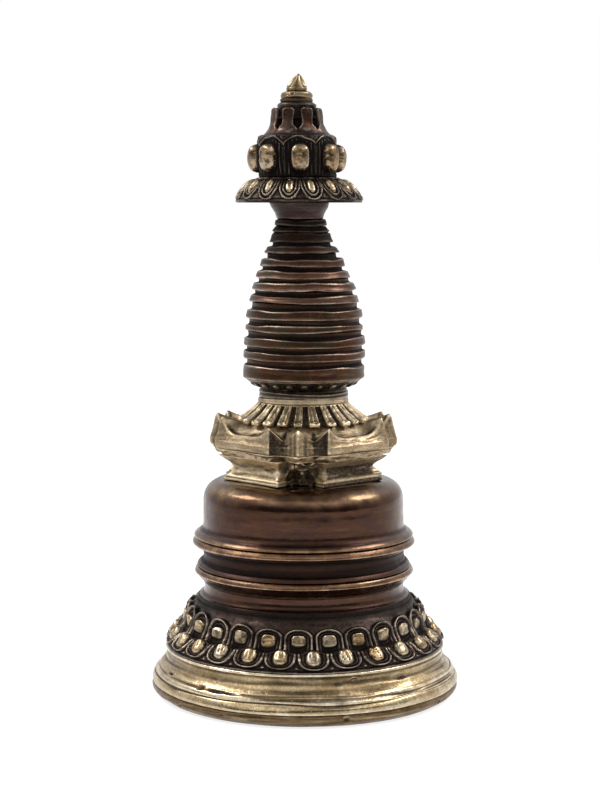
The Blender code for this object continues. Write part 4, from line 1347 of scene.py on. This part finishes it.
half_pitch = np.pi * parasol_line[:, 0, None] / PARASOL_PETALS
along = run - 0.6 + 0.08 * hand[0]
across = (parasol_share + 0.04 * hand[1]) * half_pitch
boss_along = (along - PARASOL_BOSS_AT - 0.12 * hand[3]) / PARASOL_BOSS_LONG
boss_far = oval(across / ((0.34 + 0.03 * hand[2]) * half_pitch), boss_along, 2.4)
boss = 0.6 * np.sqrt(np.clip(1.0 - boss_far**3.0, 0.0, 1.0)) - 0.34

# A shaky hand drew both lines round the lower end of the boss, and scratches cross the ground outside them.
below = np.clip(PARASOL_LINES_AT - along, 0.0, None)
shaky = 0.07 * dents((len(parasol_line), len(parasol_round)), 6, 10, 135)
near_far = oval(across / (0.6 * half_pitch), below / (NEAR_LINE_LONG + 0.15 * hand[4]), 2.2)
far_far = oval(across / (0.92 * half_pitch), below / (FAR_LINE_LONG + 0.15 * hand[5]), 2.0)
near_off = (near_far - 1.0) * 1.5 + shaky
far_off = (far_far - 1.0) * 1.9 + shaky
push = 0.26 * bump(near_off, 0.085) + 0.26 * bump(far_off, 0.09) - 0.2
push = push - 0.18 * bump(near_off - 0.3, 0.16) - 0.18 * ease(-near_off, 0.1, 0.35)
push = push - 0.25 * ease(far_off, 0.1, 0.35)
scratch = np.cos(TURN * (across + 0.5 * hand[6] * along) / 0.5)
scratch = scratch * ease(near_off, 0.3, 0.5) * (1.0 - ease(along, 1.0, 1.6))
push = np.maximum(push + 0.06 * scratch, boss) + 0.02 * dents(push.shape, 2, 3, 131)
push = push * ease(run, 0.5, 0.85) * (1.0 - ease(parasol_line[:, 1, None], 100.0, 100.2))
scallop = 0.07 * np.cos(np.pi * parasol_share) + 0.05 * dents(push.shape, 4, 10, 133)
push = push + (scallop - 0.08) * ease(run, 0.1, 0.3) * (1.0 - ease(run, 0.8, 1.4))
set_piece(
    "parasol",
    turned_points(parasol_line, parasol_round, push),
    lotus_bronze,
    keen=0.95 * (0.4 + 0.6 * ease(run, 0.6, 1.0)),
    soft=0.1,
    still=0.5,
    boss=np.clip((boss + 0.3) / 0.2, 0.0, 1.0) * (0.85 + 0.15 * hand[2]),
)


# Lotus bud.
# A closed lotus of eight upright petals, cast in bronze and blackened. Each carries a long faceted boss of
# bare brass under a chased arch, with upright folds in the black gaps between.
BUD_PETALS = 8
BUD_COLUMNS = 68
BUD_FIRST = 4.2
BUD_MIDDLE = 103.95
BUD_BOSS_WIDE = 1.84
BUD_BOSS_UP = 2.6
BUD_BOSS_DOWN = 2.75
ARCH_FOOT = 106.25
ARCH_RISE = 1.7
BUD_SHIFTS = np.array([0.0, 0.35, 0.1, -0.1, 0.1, 0.0, -0.1, -0.3])
bud_bronze = metal_finish(
    "blackened_bud_bronze",
    LOTUS_TONES,
    edge=(0.55, 0.45, 0.35),
    hollow=(0.004, 0.003, 0.0025),
    roughness=0.33,
    grain=0.9,
    turning=0.0,
    pits=0.7,
    stains=0.5,
    gilt=(0.4, 0.32, 0.23),
)
bud_line = moulding(
    [
        (7.35, 100.25, 0),
        (7.55, 100.5, 0.2),
        (7.85, 101.6, 0.6),
        (8.05, 103.2, 1.0),
        (8.05, 104.6, 1.0),
        (7.95, 106.2, 0.9),
        (7.75, 107.3, 0.6),
        (7.2, 108.15, 0.4),
        (7.0, 108.3, 0),
    ],
    0.12,
)
bud_round = round_the_axis(BUD_PETALS * BUD_COLUMNS, BUD_FIRST)
bud_petal, bud_share = across_petals(bud_round, BUD_PETALS, BUD_FIRST)
hand = hand_shares(19, BUD_PETALS, PETAL_DRAWS, bud_petal)
level = bud_line[:, 1, None]
half_pitch = np.pi * bud_line[:, 0, None] / BUD_PETALS
across = bud_share * half_pitch - BUD_SHIFTS[bud_petal]
tall = (level - BUD_MIDDLE) / np.where(level > BUD_MIDDLE, BUD_BOSS_UP, BUD_BOSS_DOWN)
narrowed = BUD_BOSS_WIDE * (1.0 - 0.16 * np.clip(-tall, 0.0, 1.0) ** 2)
narrowed = narrowed * (1.0 - 0.08 * np.clip(tall, 0.0, 1.0) ** 3)
boss_far = oval(across / narrowed, tall, 2.8)
boss = 1.75 * np.clip(1.0 - boss_far**5.0, 0.0, 1.0) ** 0.45 - 0.25
chamfer = 0.16 * np.maximum(np.abs(across) / 0.8, np.abs(tall) / 0.5)

# The arch is a level that drops from each petal's middle to its borders. Under it the ground is sunk, with
# upright folds beside the boss.
arch_level = ARCH_FOOT + ARCH_RISE * (1.0 - np.abs(bud_share) ** 2.6) + 0.1 * hand[1]
arch = (level - arch_level) * 0.8 + 0.09 * dents((len(bud_line), len(bud_round)), 3, 8, 143)
folds = np.cos(TURN * (np.abs(bud_share) * half_pitch - 3.0) / 0.8) * ease(boss_far, 1.12, 1.3)
inside = 1.0 - ease(arch, -0.5, -0.1)
push = 0.18 * bump(arch, 0.09) - 0.2 * bump(arch + 0.3, 0.18) + 0.15 * folds * inside - 0.25 * inside
push = push - 0.3 * bump(np.clip(boss_far - 1.0, 0.0, None), 0.22) * (boss_far > 0.97)
push = push + 0.1 * bump(arch + 0.5 + 0.25 * np.abs(bud_share), 0.07) - 0.12 * bump(arch - 0.4, 0.12)
push = np.maximum(push, boss - chamfer * (boss > 0.4))
push = push + 0.03 * dents(push.shape, 2, 3, 141) + 0.03 * dents(push.shape, 6, 10, 142)
push *= ease(level, 100.35, 101.2) * (1.0 - ease(level, 107.9, 108.2))
set_piece(
    "lotus_bud",
    turned_points(bud_line, bud_round, push),
    bud_bronze,
    keen=0.7,
    soft=0.05,
    still=0.5,
    boss=np.clip(boss / 0.4, 0.0, 1.0),
    dirt_and_shade=inside * (boss < 0.1) * (0.9 - 0.35 * np.clip(folds, 0.0, 1.0)),
)


# Crown of the bud.
# Eight upright leaves of red brown bronze grow out of the bud, narrow in the middle and rounded at the top,
# with deep gaps between. Their tips stand round the foot of the finial.
CROWN_COLUMNS = 52
CROWN_FIRST = -20.0
CROWN_DEPTH = 1.05
CROWN_TONES = ((0.045, 0.028, 0.022), (0.085, 0.036, 0.02), (0.04, 0.03, 0.028))
crown_bronze = metal_finish(
    "red_brown_crown_bronze",
    CROWN_TONES,
    edge=(0.34, 0.27, 0.22),
    hollow=(0.005, 0.004, 0.004),
    roughness=0.32,
    grain=0.6,
    turning=0.0,
    pits=0.3,
    stains=0.5,
)
crown_line = moulding(
    [
        (6.9, 108.3, 0),
        (6.3, 108.42, 0.3),
        (5.45, 109.5, 1.0),
        (5.05, 110.8, 0.8),
        (4.95, 112.6, 0.7),
        (4.8, 113.35, 0.25),
        (4.45, 113.6, 0.15),
        (4.1, 113.42, 0.15),
        (3.85, 113.3, 0),
    ],
    0.12,
)
crown_round = round_the_axis(BUD_PETALS * CROWN_COLUMNS, CROWN_FIRST)
crown_leaf, crown_share = across_petals(crown_round, BUD_PETALS, CROWN_FIRST)
hand = hand_shares(23, BUD_PETALS, 4, crown_leaf)
level = crown_line[:, 1, None]
run = run_of(crown_line)
to_top = run[-1] - run

# Leaf_half is the half width of a leaf: broad at its foot, narrow above, and rounded in at its tip.
off_middle = np.abs(crown_share)
leaf_half = 0.5 + 0.1 * ease(level, 111.0, 112.6) + 0.4 * (1.0 - ease(level, 109.2, 110.4))
leaf_half = leaf_half - 0.3 * (1.0 - ease(to_top, 0.6, 1.7)) ** 2
inside = 1.0 - ease(np.abs(crown_share + 0.05 * hand[1]), leaf_half, leaf_half + 0.22)
furrow = 0.12 * (1.0 - ease(off_middle, 0.2, 0.6)) * inside * ease(level, 109.6, 111.0)
seam = 0.12 * ease(off_middle, 0.7, 0.95) * ease(level, 108.6, 109.2) * (1.0 - ease(level, 109.8, 110.4))
push = (CROWN_DEPTH * inside - CROWN_DEPTH) * ease(level, 109.2, 110.5) - furrow - seam
held = ease(run, 0.2, 0.5) * ease(to_top, 0.2, 0.5)
push = push * ease(to_top, 0.05, 0.5) + 0.06 * dents(push.shape, 4, 9, 151) * held
crown_dirt = 0.95 * (1.0 - inside) * ease(level, 109.6, 110.6)
# Whitish patches of painted highlight run round the flare at the foot of the leaves.
crown_painted_highlight = 0.6 * bump(level - 109.0, 0.6) * ease(dents(push.shape, 2, 4, 153), 0.0, 0.8)
crown_points = turned_points(crown_line, crown_round, push)
crown_points[..., 2] -= 1.1 * (1.0 - inside) * ease(level, 112.2, 113.3) * ease(to_top, 0.0, 0.25)
set_piece(
    "bud_crown",
    crown_points,
    crown_bronze,
    keen=0.6,
    soft=0.05,
    dirt_and_shade=crown_dirt,
    rub_and_highlight=crown_painted_highlight,
)


# Finial.
# A blackened ring, a brass bead with a thin lip under it and a pit in its front, and a pointed jewel filed to
# soft facets over a narrow band.
BEAD_COLUMNS = 120
JEWEL_FACETS = 7
FACET_COLUMNS = 16
FINIAL_TONES = ((0.23, 0.17, 0.095), (0.17, 0.118, 0.065), (0.28, 0.21, 0.13))
finial_brass = metal_finish(
    "polished_finial_brass",
    FINIAL_TONES,
    edge=(0.62, 0.49, 0.33),
    hollow=(0.01, 0.007, 0.005),
    roughness=0.3,
    grain=0.02,
    turning=0.03,
    pits=0.0,
    stains=0.2,
    relief=1e-5,
)
set_turning(
    "finial_ring",
    [(3.5, 113.3, 0), (3.68, 113.45, 0.12), (3.72, 114.1, 0.3), (3.4, 114.45, 0.15), (3.0, 114.6, 0)],
    neck_bronze,
    seed=161,
    rough=0.05,
    spacing=0.08,
    columns=RING_COLUMNS,
)
bead_line = moulding(
    [
        (2.8, 114.6, 0),
        (3.1, 114.66, 0.08),
        (3.14, 115.05, 0.12),
        (2.8, 115.28, 0.08),
        (2.95, 115.42, 0.08),
        (3.1, 115.8, 0.35),
        (2.85, 116.4, 0.4),
        (2.0, 116.65, 0),
    ],
    0.08,
)
bead_round = round_the_axis(BEAD_COLUMNS)
bead_level = bead_line[:, 1, None]
bead_pits = [(-16.0, 116.1, 0.3, 0.25, 0.35), (-36.0, 115.9, 0.25, 0.2, 0.12)]
bead_push = 0.04 * dents((len(bead_line), BEAD_COLUMNS), 2, 5, 165)
bead_push = bead_push + pitted_at(bead_line, bead_round, bead_pits)
bead_push *= ease(bead_level, 114.6, 114.75) * (1.0 - ease(bead_level, 116.5, 116.65))
set_piece(
    "finial_bead",
    turned_points(bead_line, bead_round, bead_push),
    finial_brass,
    keen=0.15,
    soft=0.0,
    dirt_and_shade=0.7 * (1.0 - ease(bead_level, 115.2, 115.45)),
)
jewel_line = moulding(
    [
        (1.8, 116.65, 0),
        (1.98, 116.8, 0.1),
        (2.02, 117.15, 0.15),
        (1.85, 117.33, 0.08),
        (1.98, 117.48, 0.1),
        (1.2, 118.72, 0.8),
        (0.5, 119.6, 0.3),
        (0.1, 119.97, 0),
    ],
    0.08,
)
jewel_round = round_the_axis(JEWEL_FACETS * FACET_COLUMNS)
level = jewel_line[:, 1, None]
turn_share = np.abs((jewel_round / (360.0 / JEWEL_FACETS) + 0.56) % 1.0 - 0.5)

# The push follows the square of the distance from each facet's middle, so the edges between stand out.
jewel_push = 0.55 * (0.55 * (turn_share / 0.5) ** 2 - 0.4)
jewel_push = jewel_push * ease(level, 117.4, 117.8) * (1.0 - ease(level, 119.3, 119.9))
jewel_push = jewel_push * (1.0 - ease(level, 119.5, 119.95))
# The facet middles are darkened and bright stripes run along the edges between them, both painted reflection.
set_piece(
    "finial_jewel",
    turned_points(jewel_line, jewel_round, jewel_push),
    finial_brass,
    keen=0.0,
    dirt_and_shade=0.35 * (1.0 - ease(turn_share, 0.05, 0.3)),
    rub_and_highlight=0.7 * bump(turn_share - 0.5, 0.14) * ease(level, 117.3, 117.6),
)


# Floor.
# A plain pale sheet under the object, wide enough to fill the view. It glows a little, so that it stays as
# pale as the picture's ground under the soft light.
FLOOR_HALF = 2.5
FLOOR_GLOW = 0.78
floor_mesh = bpy.data.meshes.new("pale_floor")
floor_corners = [
    (-FLOOR_HALF, -FLOOR_HALF, 0),
    (FLOOR_HALF, -FLOOR_HALF, 0),
    (FLOOR_HALF, FLOOR_HALF, 0),
    (-FLOOR_HALF, FLOOR_HALF, 0),
]
floor_mesh.from_pydata(floor_corners, [], [(0, 1, 2, 3)])
floor_paint = bpy.data.materials.new("pale_matt_sheet")
floor_paint.use_nodes = True
floor_shader = floor_paint.node_tree.nodes["Principled BSDF"]
floor_shader.inputs["Base Color"].default_value = colour(0.35, 0.35, 0.35)
floor_shader.inputs["Roughness"].default_value = 0.9
floor_shader.inputs["Emission Color"].default_value = colour(1.0, 1.0, 1.0)
floor_shader.inputs["Emission Strength"].default_value = FLOOR_GLOW
floor_mesh.materials.append(floor_paint)
floor = bpy.data.objects.new("pale_floor", floor_mesh)
bpy.context.scene.collection.objects.link(floor)


# Light.
# A white room: bright walls behind and beside the object, a darker side where the viewer stands, and a soft
# light overhead. Two lamps stand left and right of the object, a little behind it.
LIGHT_TARGET = (0.0, 0.0, 0.07)
LIGHT_SIZE = (0.3, 0.2)
LIGHT_WATTS = 1.5
world = bpy.data.worlds.new("white_room")
bpy.context.scene.world = world
world.use_nodes = True
room = world.node_tree
room.nodes.clear()


def room_node(kind, sockets, **settings):
    """A new node of the room's light."""
    return add_node(room, kind, sockets, **settings)


def ramp(value, start, end, low, high):
    """Smooth change from low at start to high at end."""
    sockets = {"Value": value, "From Min": start, "From Max": end, "To Min": low, "To Max": high}
    return room_node("ShaderNodeMapRange", sockets, interpolation_type="SMOOTHSTEP").outputs["Result"]


def softbox(name, place, target, size, watts):
    """A lamp in the shape of a rectangle at place, turned to face target, that the camera doesn't see."""
    lamp = bpy.data.lights.new(name, "AREA")
    lamp.shape = "RECTANGLE"
    lamp.size, lamp.size_y = size
    lamp.energy = watts
    box = bpy.data.objects.new(name, lamp)
    box.location = place
    box.rotation_euler = (Vector(target) - Vector(place)).to_track_quat("-Z", "Y").to_euler()
    box.visible_camera = False
    bpy.context.scene.collection.objects.link(box)


# Brightness by direction: the walls by how far it points away from the viewer, the ceiling by how far it
# points to either side, and a strip over the viewer's head. The camera itself sees plain white.
way = room_node("ShaderNodeTexCoord", {}).outputs["Generated"]
parts = room_node("ShaderNodeSeparateXYZ", {"Vector": way}).outputs
sideways = room_node("ShaderNodeMath", {0: parts["X"]}, operation="ABSOLUTE").outputs[0]
walls = ramp(parts["Y"], -0.75, 0.3, 0.13, 0.85)
ceiling = ramp(sideways, 0.25, 0.6, 0.38, 1.6)
strip = ramp(parts["Y"], -0.75, -0.3, 0.9, 0.0)
ceiling = room_node("ShaderNodeMath", {0: ceiling, 1: strip}, operation="ADD").outputs[0]
upward = ramp(parts["Z"], 0.3, 0.65, 0.0, 1.0)
side = room_node("ShaderNodeMix", {0: upward, 2: walls, 3: ceiling}).outputs[0]
seen = room_node("ShaderNodeLightPath", {}).outputs["Is Camera Ray"]
strength = room_node("ShaderNodeMix", {0: seen, 2: side, 3: 1.0}).outputs[0]
background = room_node("ShaderNodeBackground", {"Color": colour(1.0, 1.0, 1.0), "Strength": strength})
room_node("ShaderNodeOutputWorld", {"Surface": background.outputs["Background"]})
softbox("left_light", (-0.46, 0.05, 0.56), LIGHT_TARGET, LIGHT_SIZE, LIGHT_WATTS)
softbox("right_light", (0.48, 0.05, 0.54), LIGHT_TARGET, LIGHT_SIZE, LIGHT_WATTS)


# Camera.
# A long lens in front of the object and above its middle, tilted slightly down. Its place was worked out from
# the ellipses of the rims in the photograph.
CAMERA_PLACE = (-0.97 * MM, -365.6 * MM, 95.57 * MM)
CAMERA_TILT = 5.984
camera_lens = bpy.data.cameras.new("front_camera")
camera_lens.lens = 85.0
camera_lens.sensor_width = 36.0
camera_lens.clip_start = 0.01
camera = bpy.data.objects.new("front_camera", camera_lens)
camera.location = CAMERA_PLACE
camera.rotation_euler = (np.radians(90.0 - CAMERA_TILT), 0.0, 0.0)
bpy.context.scene.collection.objects.link(camera)
bpy.context.scene.camera = camera
bpy.context.scene.view_settings.view_transform = "Standard"
